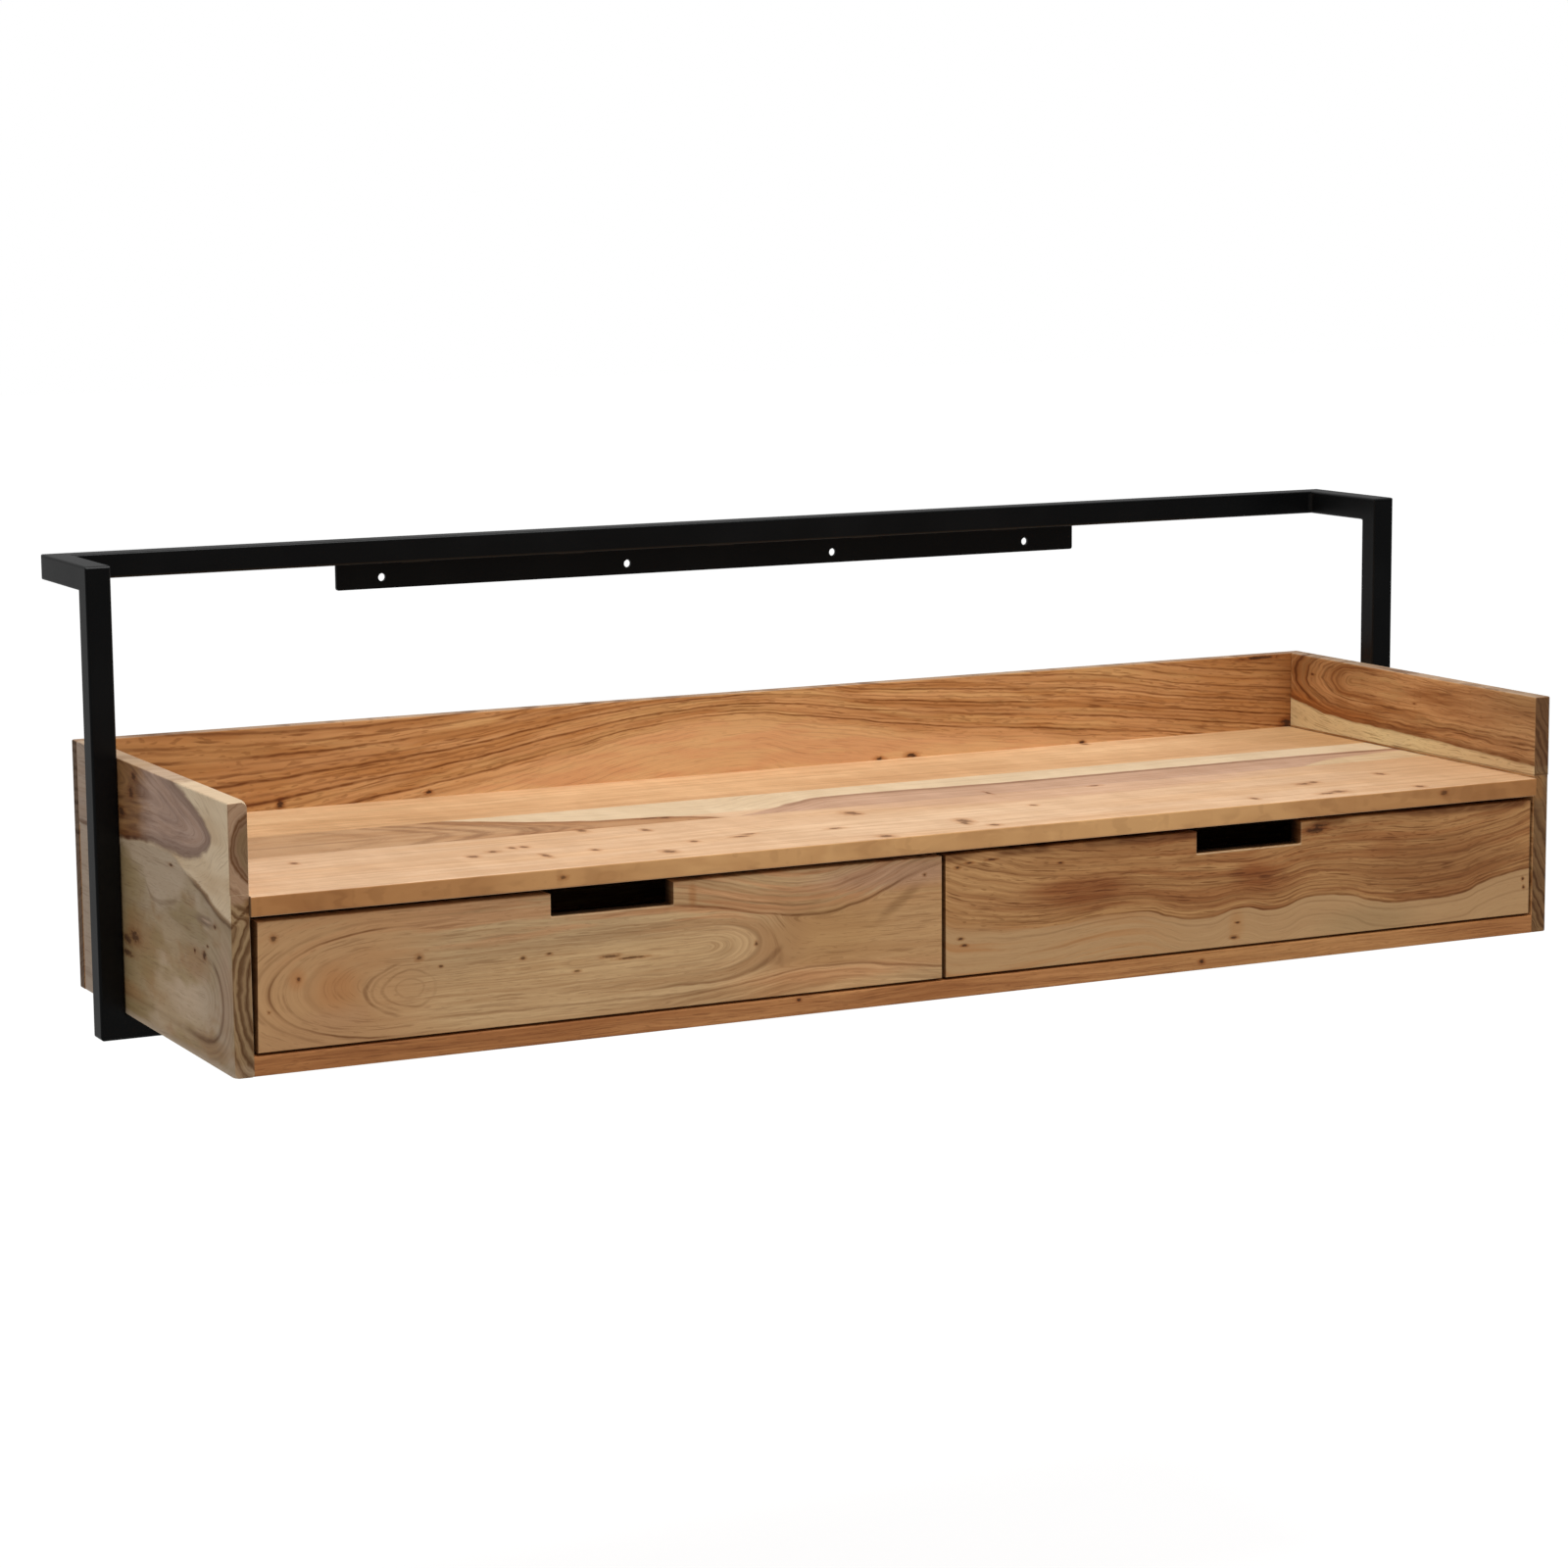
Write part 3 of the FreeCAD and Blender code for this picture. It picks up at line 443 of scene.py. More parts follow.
def left_drawer_wood(tints):
    """A long nest of rings on the left, which runs into waves on the right."""
    wood = Wood("left_drawer_wood", (X, Z, Y), 1.3, 7.0)
    graph = wood.graph
    along, across = wood.along, wood.across
    beige = partial(scaled, tints.beige)
    long_nest = wood.heart(-465, -205, -279, 0.46, 0.39)
    rings = long_nest.towards(across + 318.0, along.eased(-165, -105))
    high_wave = wood.guide((
        (-330, -236), (-280, -238), (-230, -242), (-195, -247), (-150, -257), (-115, -261), (-80, -256),
        (-50, -246), (-30, -238), (0, -229)))
    low_wave = wood.guide((
        (-330, -313), (-250, -312), (-180, -307), (-130, -301), (-95, -299), (-50, -303), (0, -309)))
    above, below = across - high_wave, low_wave - across
    right_part = along.eased(-290, -200)
    waves = above | below
    in_waves = waves.eased(-4.0, 4.0) * right_part
    rings = rings.towards(waves + 38.0, in_waves)
    swirl = wood.oval(-445, -285, 33, 21)
    curls = swirl + (wood.cloud(46, 30, 30) - 0.5) * 0.5
    left_end = along.eased(-400, -470)
    right_end = along.eased(-160, -115) * (1 - in_waves)
    leaning = across + 257.0 - (along + 38.0) * 0.7
    smudge = graph.point((along + 38.0) / 30.0, leaning / 8.0, 0.0).size().eased(1.0, 0.2)
    lens_tip = wood.spot(-133, -281, 46, 24)
    extra = wood.drawn(above, (
        (0.0, 2.1, 0.85), (4.5, 1.5, 0.3), (9.0, 1.8, 0.5), (14.0, 1.6, 0.3), (20.0, 1.7, 0.4)), 140.0)
    extra |= wood.drawn(below, (
        (1.0, 1.7, 0.65), (6.0, 1.6, 0.35), (11.0, 1.8, 0.4), (16.0, 1.6, 0.3)), 160.0)
    extra *= right_part
    extra |= wood.drawn(rings, ((40.5, 1.3, 0.85), (27.0, 2.4, 0.22), (46.0, 1.5, 0.3)), 50.0) * left_end
    extra |= wood.drawn(curls, ((1.0, 0.09, 0.6), (0.84, 0.07, 0.35)), 24.0) * along.eased(-448, -458)
    extra |= wood.drawn(curls, ((0.62, 0.07, 0.45), (0.30, 0.06, 0.25)), 24.0)
    extra |= wood.accent(long_nest, 17.5, 1.4) * along.eased(-250, -200) * 0.4
    under_tip = along.eased(-275, -225) * along.eased(-122, -142) * across.eased(-280, -287)
    extra |= wood.accent(long_nest, 24.5, 2.2) * under_tip * 0.6
    extra |= wood.accent(across, -309.5, 1.6) * abs(along + 310.0).eased(130.0, 90.0) * 0.5
    brown = beige(0.72, 0.58, 0.48)
    olive = beige(0.80, 0.72, 0.55)
    rosy = beige(1.04, 0.86, 0.80)
    purple = beige(0.86, 0.78, 0.92)
    colour = graph.mix(tints.beige, brown, wood.bands(rings, 170, 12.0, 8.0).eased(0.46, 0.68) * 0.65)
    upper = across.eased(-266, -250)
    colour.coat(rosy, wood.bands(rings, 120, 7.0, 9.0).eased(0.44, 0.58) * upper * 0.9)
    colour.tone((0.88, 0.90, 0.92), across.eased(-290, -262) * (1 - right_part))
    crescent = swirl.eased(1.0, 1.25) * rings.eased(35, 25) * along.eased(-425, -482)
    colour.coat(brown, crescent * wood.cloud(24, 18, 18).eased(0.28, 0.64) * 0.85)
    rust = wood.spot(-501, -279, 24, 25) | wood.spot(-531, -269, 10, 12) | wood.spot(-216, -236, 5, 13)
    swirl_rim = wood.accent(swirl, 0.93, 0.08) * across.eased(-286, -294) * left_end
    colour.coat(beige(1.12, 1.14, 1.16), swirl_rim * 0.8)
    colour.coat(purple, wood.spot(-500, -302, 34, 14) * 0.7)
    colour.coat(beige(0.90, 0.77, 0.68), left_end * 0.7)
    colour.coat(beige(0.78, 0.66, 0.60), wood.spot(-520, -322, 100, 34) * 0.6)
    colour.coat(beige(0.82, 0.56, 0.38), rust * 0.6)
    colour.coat(olive, wood.spot(-95, -276, 70, 30) * 0.9)
    colour.coat(beige(0.92, 0.80, 0.68), right_end * 0.7)
    colour.coat(beige(0.58, 0.48, 0.38), smudge * 0.7)
    colour.coat(brown, wood.spot(-138, -279, 30, 28) * 0.55)
    colour.coat(purple, wood.spot(-40, -236, 110, 16) * 0.9)
    colour.coat(rosy, wood.spot(-90, -306, 130, 9) * 0.6)
    colour.tone((1.20, 1.14, 1.10), wood.spot(-115, -312, 110, 20) * 0.8)
    pale_ring = rings.eased(9, 13) * rings.eased(18.5, 16) * along.eased(-215, -180)
    colour.coat(beige(1.14, 1.16, 1.20), pale_ring * along.eased(-140, -155) * 0.9)
    colour.coat(beige(1.06, 1.07, 1.06), wood.spot(-290, -279, 160, 18) * 0.8)
    paint_notch_shade_and_highlight(wood, colour, tints, -281.75)
    knots = wood.knots((
        (-437, -263, 2.2, 2.0), (-548, -238, 1.9, 2.2), (-283, -276.5, 6, 1.2), (-266, -279.2, 10, 0.8),
        (-530, -270, 1.3, 1.5), (-553, -292, 1.0, 1.0), (-163, -278, 1.2, 1.3), (-334, -270, 1.8, 0.8),
        (-312, -285, 2.4, 0.8), (-17, -238, 1.2, 1.0), (-420, -271, 1.3, 0.7), (-355, -271, 1.6, 1.0)))
    lines = (0.40 - left_end * 0.26) * (1 - lens_tip * 0.9)
    calm = left_end * 0.8 | right_end * 0.45 | lens_tip * 0.9
    return wood.finish(
        colour, rings, tints, pitch=5.5, width=1.3, lines=lines, contrast=0.65, dashes=0.35, extra=extra,
        knots=knots, calm=calm, knot_share=0.72)


def right_drawer_wood(tints):
    """Red heartwood between two pale wavy borders, with fine lines along it."""
    wood = Wood("right_drawer_wood", (X, Z, Y), 4.1, 3.0)
    graph = wood.graph
    along, across, straight = wood.along, wood.across, wood.straight
    sapwood = partial(scaled, tints.sapwood)
    red = partial(scaled, tints.red)
    low = wood.guide((
        (0, -278), (40, -287), (85, -289.5), (130, -286), (165, -284.5), (205, -291), (242, -296),
        (275, -290.5), (305, -295), (345, -287), (375, -289), (405, -297), (445, -300), (482, -299),
        (510, -292), (535, -286), (565, -282)))
    high = wood.guide((
        (0, -233), (50, -247), (100, -254), (160, -255), (250, -262), (300, -262), (350, -255),
        (410, -259), (460, -262), (510, -256), (565, -244)))
    rings = (across - low) / (high - low) * 34
    left_fade = along.eased(120, 10)
    heartwood = (rings / (1.0 + left_fade * 5.0)).eased(-0.7, 0.7)
    rim = wood.accent(rings, 0.6, 1.7) * along.eased(60, 190)
    extra = rim * (0.55 + wood.cloud(60, 30, 30, 1.0, 0.5, 2.0) * 0.5)
    extra |= wood.drawn(rings, (
        (3.4, 1.1, 0.55), (6.2, 1.2, 0.6), (9.4, 1.2, 0.6), (13.0, 1.2, 0.55), (17.0, 1.3, 0.6),
        (21.5, 1.2, 0.5), (27.0, 1.3, 0.55), (32.5, 1.2, 0.5), (39.0, 1.4, 0.55),
        (46.0, 1.3, 0.5)), 60.0)
    extra |= wood.drawn(rings, ((-5.0, 1.3, 0.35), (-17.0, 1.4, 0.25)), 90.0)
    extra *= 1 - left_fade * 0.5
    # Painted shadow: a darker band along the top edge, under the desktop's overhang.
    painted_top_shadow = straight.eased(-232.0, -227.5) * wood.cloud(60, 30, 30, 2.0, 0.5, 7.0).eased(0.36, 0.5)
    extra |= painted_top_shadow * 0.85
    brown = red(1.28, 1.56, 1.80)
    dusky = red(0.85, 0.88, 0.88)
    colour = graph.mix(tints.red, brown, wood.bands(rings, 120, 8.0, 8.0).eased(0.38, 0.60))
    colour.coat(brown, wood.spot(60, -240, 130, 24) * 0.8)
    colour.coat(red(1.44, 1.90, 2.40), left_fade * 0.6)
    red_spots = wood.spot(125, -262, 70, 17) | wood.spot(290, -264, 34, 18)
    red_spots |= wood.spot(415, -252, 30, 10) * 0.6
    colour.coat(tints.ember, red_spots * (0.55 + wood.cloud(40, 5, 5) * 0.7))
    colour.coat(dusky, wood.spot(470, -270, 110, 34) * 0.7)
    low_tone = wood.bands(rings, 150, 5.0, 9.0).eased(0.44, 0.68) * along.eased(240, 130)
    pale = graph.mix(sapwood(0.74, 0.58, 0.42), red(1.25, 1.40, 1.55), low_tone * 0.75)
    pale.coat(sapwood(0.60, 0.50, 0.36), wood.spot(400, -312, 70, 18) * 0.7)
    pale.coat(brown, wood.spot(270, -304, 10, 20) * 0.6)
    colour = graph.mix(pale, colour, heartwood)
    paint_notch_shade_and_highlight(wood, colour, tints, 281.75)
    knots = wood.knots((
        (345, -232.5, 8, 2.2), (350, -229, 6, 1.2), (12, -235, 2.0, 1.0), (15, -291.5, 2.2, 0.9),
        (18, -297, 2.4, 0.9), (42, -231, 4, 0.7), (555, -291, 1.1, 1.1), (556, -298, 1.1, 1.1),
        (271, -302, 1.8, 0.7), (105, -239, 2.0, 0.7), (23, -232, 3, 0.7), (268, -314, 3, 1.1)))
    return wood.finish(
        colour, rings, tints, pitch=5.0, width=1.2, lines=0.15 + heartwood * (0.45 - left_fade * 0.25),
        contrast=0.75, dashes=0.15 + heartwood * 0.6, extra=extra, knots=knots,
        calm=(1 - heartwood) * 0.75, knot_share=0.85)


def back_wood(tints, seam):
    """An arch of rings in the upper board, over a plain lower one."""
    wood = Wood("back_panel_wood", (X, Z, Y), 7.7, 4.0)
    graph = wood.graph
    along, across, straight, through = wood.along, wood.across, wood.straight, wood.through
    orange = partial(scaled, tints.orange)
    grey_wood_and_painted_top_light = partial(scaled, tints.grey_wood_and_painted_top_light)
    high = wood.guide((
        (-580, -187), (-450, -183), (-350, -175), (-250, -165), (-150, -151), (-75, -143), (-10, -140.5),
        (55, -143), (120, -152), (200, -159), (350, -170), (450, -182), (580, -197)))
    low = wood.guide((
        (-580, -238), (-450, -222), (-350, -205), (-250, -190), (-150, -172), (-75, -160), (0, -156),
        (55, -161), (120, -170), (200, -180), (300, -189), (450, -204), (580, -220)))
    arch = (across - low) / (high - low) * 17
    plain = straight + through * 0.6 + (wood.cloud(320, 60, 60) - 0.5) * 30
    upper = straight.eased(seam - 0.15, seam + 0.15)
    rings = plain.towards(arch, upper)
    extra = wood.drawn(arch, (
        (0.0, 1.1, 1.0), (2.6, 0.8, 0.5), (5.6, 0.8, 0.5), (9.0, 1.1, 1.0), (11.6, 0.8, 0.5),
        (14.4, 0.8, 0.6), (17.0, 1.1, 1.0), (20.5, 0.8, 0.6), (23.5, 0.8, 0.5), (26.0, 1.1, 0.9),
        (30.5, 0.9, 0.7), (35.0, 1.0, 0.8), (41.0, 0.9, 0.6), (47.0, 1.0, 0.8), (54.0, 0.9, 0.5),
        (-6.0, 1.0, 0.35), (-13.0, 1.0, 0.3)), 120.0) * upper
    brown = orange(0.80, 0.70, 0.56)
    dusk = orange(0.48, 0.32, 0.17)
    gold = orange(1.04, 1.20, 1.20)
    pale = orange(1.20, 1.38, 1.60)
    colour = graph.mix(tints.orange, brown, wood.bands(rings, 110, 6.0, 8.0).eased(0.40, 0.62))
    colour.coat(gold, wood.bands(rings, 90, 9.0, 9.0).eased(0.48, 0.66) * 0.5)
    rim = straight.eased(-148.0, -139.0) * along.eased(-260, -420)
    colour.coat(orange(0.62, 0.50, 0.42), rim * 0.6)
    inside = arch.eased(3.0, -14.0) * upper
    colour.coat(pale, inside * 0.9)
    rosy = wood.cloud(70, 9, 9, 2.0, 0.5, 4.0).eased(0.44, 0.62) * inside
    colour.coat(orange(1.12, 1.10, 1.26), rosy * 0.7)
    colour.coat(brown, abs(along - 20.0).eased(330, 540) * 0.55)
    colour.coat(dusk, along.eased(525, 575) * 0.75)
    # Painted light: the upward faces take their own greyer tone.
    colour.coat(tints.grey_wood_and_painted_top_light, wood.facing(Z, 1) * 0.75)
    colour.coat(grey_wood_and_painted_top_light(0.90, 1.0, 1.12), wood.facing(X, -1) * 0.8)
    knots = wood.knots((
        (-412, -202, 2.4, 3.6), (-283, -202, 2.6, 1.5), (138, -205, 4, 1.5), (170, -204, 5, 1.8),
        (343, -205, 3, 1.3), (562, -203, 5, 4), (530, -140.5, 16, 1.4)))
    return wood.finish(
        colour, rings, tints, pitch=4.0, width=0.9, lines=0.42, contrast=0.54,
        dashes=0.7 - inside * 0.5, extra=extra, knots=knots, calm=inside * 0.7)


def desktop_wood(tints, rear_seam, front_seam):
    """Three boards. The middle one is sapwood, with heartwood in from both sides."""
    wood = Wood("desktop_wood", (X, Y, Z), 2.9, 8.0)
    graph = wood.graph
    along, across, straight = wood.along, wood.across, wood.straight
    orange = partial(scaled, tints.orange)
    sapwood = partial(scaled, tints.sapwood)
    pink = partial(scaled, tints.pink)
    mauve = partial(scaled, tints.mauve)
    peach = partial(scaled, tints.peach)
    amber = partial(scaled, tints.amber)
    knot = partial(scaled, tints.knot)
    tongue_edge = wood.guide((
        (-565, -30), (-450, -84), (-350, -118), (-322, -134), (-290, -154), (-257, -173), (-216, -189),
        (-180, -195), (-148, -202), (-126, -216), (-60, -262), (0, -300), (565, -400)))
    right_edge = wood.guide((
        (-565, -400), (-150, -262), (-105, -230), (-62, -203), (-30, -184), (0, -171), (60, -170),
        (130, -174.5), (250, -175), (340, -173), (430, -171), (565, -174)))
    wedge_edge = wood.guide((
        (-565, -260), (380, -246), (430, -229), (452, -216), (480, -203), (520, -194), (565, -187)))
    soft = (wood.cloud(34, 8, 8) - 0.5) * 9.0
    left_depth = (tongue_edge - across).blended_least(across + 238.0, 20.0)
    right_depth = right_edge - across
    in_left = (left_depth + soft).eased(-2.0, 3.0)
    in_right = (right_depth + soft).eased(-1.5, 2.5)
    in_wedge = (wedge_edge - across + soft).eased(-2.0, 2.0)
    rear = straight.eased(rear_seam - 0.2, rear_seam + 0.2)
    front = straight.eased(front_seam + 0.2, front_seam - 0.2)
    in_middle = (1 - rear) * (1 - front)
    plain = across + (wood.cloud(400, 80, 80) - 0.5) * 34
    left_share = along.eased(-60, -170)
    middle = right_depth.towards(left_depth, left_share)
    rings = middle.towards(plain, rear | front)
    shown_left = in_left * in_middle * along.eased(-70, -130)
    beside = across + 259.0 + along * 0.19
    chevrons = along + graph.point(beside * 1.25, 14.0, 0.0).size() + soft * 2.2
    extra = wood.drawn(chevrons, (
        (-378.0, 15.0, 0.45), (-328.0, 14.0, 0.6), (-299.0, 13.0, 0.75), (-258.0, 17.0, 0.85),
        (-237.0, 12.0, 0.7), (-212.0, 10.0, 0.45)), 160.0)
    extra |= wood.accent(left_depth, 5.0, 8.0) * 0.7
    extra |= wood.accent(across, -189.0, 5.0) * along.eased(-385, -400) * 0.45
    extra = extra * shown_left * 0.8
    rim = right_depth.eased(13.0, 7.0) * right_depth.eased(-1.0, 2.5)
    rim *= 0.6 + wood.cloud(70, 12, 12) * 0.6
    extra |= rim * in_middle * along.eased(-90, -20) * 0.75
    brown = orange(0.86, 0.94, 1.05)
    dusk = wood.cloud(90, 12, 12).eased(0.42, 0.66)
    left_heart = graph.mix(orange(0.82, 0.90, 1.10), orange(0.70, 0.70, 0.76), dusk * 0.8)
    near_edge = left_depth.eased(36.0, 8.0) * along.eased(-380, -290)
    left_heart.coat(orange(0.68, 0.60, 0.58), near_edge * 0.7)
    bridge = (across + soft * 0.8).eased(-199.0, -208.0)
    middle_colour = graph.mix(tints.sapwood, pink(1.02, 1.04, 1.06), bridge)
    middle_colour.coat(left_heart, in_left)
    middle_colour.coat(mauve(1.08, 1.0, 0.92), in_right)
    middle_colour.coat(sapwood(0.90, 0.84, 0.76), in_wedge)
    blush = wood.cloud(200, 34, 34).eased(0.42, 0.66)
    flame = wood.cloud(26, 60, 60, 2.0, 0.5, 4.0).eased(0.38, 0.66)
    front_colour = graph.mix(tints.pink, tints.peach, blush * 0.4)
    halo = graph.point((along - 190.0) / 215.0, (across + 222.0) / 52.0, 0.0).size()
    front_colour.coat(mauve(1.16, 1.06, 1.0), halo.eased(1.15, 0.75) * 0.55)
    front_colour.coat(pink(1.06, 1.12, 1.18), wood.spot(20, -322, 260, 60) * 0.75)
    front_colour.coat(peach(0.90, 0.94, 1.0), along.eased(330, 560) * 0.75)
    rear_colour = graph.mix(tints.peach, peach(1.12, 1.18, 1.24), blush * 0.8)
    rear_colour.coat(peach(0.80, 0.78, 0.68), along.eased(400, 565) * 0.8)
    fan = wood.bands(across + along * 0.12, 140, 12.0, 6.0).eased(0.48, 0.6) * along.eased(-240, -340)
    rear_colour.coat(brown, fan * 0.55)
    # Painted light: the rear board is lightened towards the back panel, against the shade there.
    rear_colour.tone((1.14, 1.25, 1.36), across.eased(-112, -36))
    colour = graph.mix(middle_colour, front_colour, front)
    colour.coat(rear_colour, rear)
    colour.tone((1.10, 1.12, 1.15), flame * 0.8)
    edge_middle = wood.spot(20, -380, 560, 60)
    edge_colour = graph.mix(amber(0.86, 0.86, 0.80), amber(1.30, 1.60, 1.86), edge_middle)
    front_face = wood.facing(Y, -1)
    colour.coat(edge_colour, front_face)
    crevice = along.eased(562.8, 564.2) * (0.35 + (soft + across * 0.01).eased(-4.5, -0.5) * 0.6)
    colour.coat(knot(1.4, 1.6, 1.6), crevice * (1 - front_face))
    dark_seams = wood.accent(straight, front_seam, 0.8) * wood.cloud(60, 60, 60).eased(0.42, 0.58) * 0.45
    knots = wood.knots_by_face((
        (-490, -262, 2.6, 4.5), (-340, -287, 4, 3.5), (-362, -300, 4, 5), (-311, -279, 3, 4),
        (-321, -278, 2.5, 4), (-312, -323, 2.6, 7), (-269, -318, 3, 4), (-223, -352, 4.5, 6),
        (-197, -252, 3, 5), (-242, -230, 3, 6), (-187, -320, 3, 3.5), (-146, -317, 6, 2.4),
        (-134, -309, 5, 2.4), (-64, -318, 6, 2.6), (-19, -258, 5, 8), (-15, -264, 3, 3),
        (41, -336, 5, 8), (36, -346, 3, 6), (52, -365, 4, 4), (128, -221, 1.6, 6), (224, -231, 5, 2.5),
        (128, -295, 3, 3), (301, -355, 2.6, 4.5), (380, -309, 6, 4), (392, -306, 4, 4),
        (368, -361, 7, 3.5), (382, -358, 6, 5), (455, -368, 3.5, 5), (467, -295, 3.6, 5),
        (-47, -371, 5, 5), (343, -17, 3, 4), (-170, -201, 7, 2.4), (-158, -205, 4, 3)),
        ((-323, -213, 2.6, 1.4), (471, -211, 3.2, 1.8)), front_face)
    lines = 0.30 - shown_left * 0.26
    calm = in_middle * (1 - in_right) * 0.7
    return wood.finish(
        colour, rings, tints, pitch=15.0, width=3.6, lines=lines, contrast=0.45, dashes=0.22,
        extra=extra | dark_seams, knots=knots, gloss=0.44, calm=calm, knot_share=0.66)


def bottom_wood(tints):
    """Plain amber heartwood."""
    wood = Wood("bottom_panel_wood", (X, Y, Z), 5.3)
    graph = wood.graph
    along, across, through = wood.along, wood.across, wood.through
    amber = partial(scaled, tints.amber)
    rings = across + through * 1.3 + (wood.cloud(420, 70, 70) - 0.5) * 40
    brown = amber(0.84, 0.76, 0.68)
    colour = graph.mix(tints.amber, brown, wood.cloud(170, 40, 40).eased(0.38, 0.66))
    colour.coat(brown, along.eased(-200, -500) * 0.8)
    colour.coat(amber(1.10, 1.24, 1.30), wood.spot(330, -377, 240, 60) * 0.7)
    knots = wood.knots_by_face(
        ((-410, -180, 6, 5), (120, -260, 7, 5)),
        ((237, -331, 2.4, 1.6), (-127, -326, 1.6, 1.0)), wood.facing(Y, -1))
    return wood.finish(
        colour, rings, tints, pitch=7.0, width=1.2, lines=0.45, contrast=0.7, dashes=0.5, knots=knots)


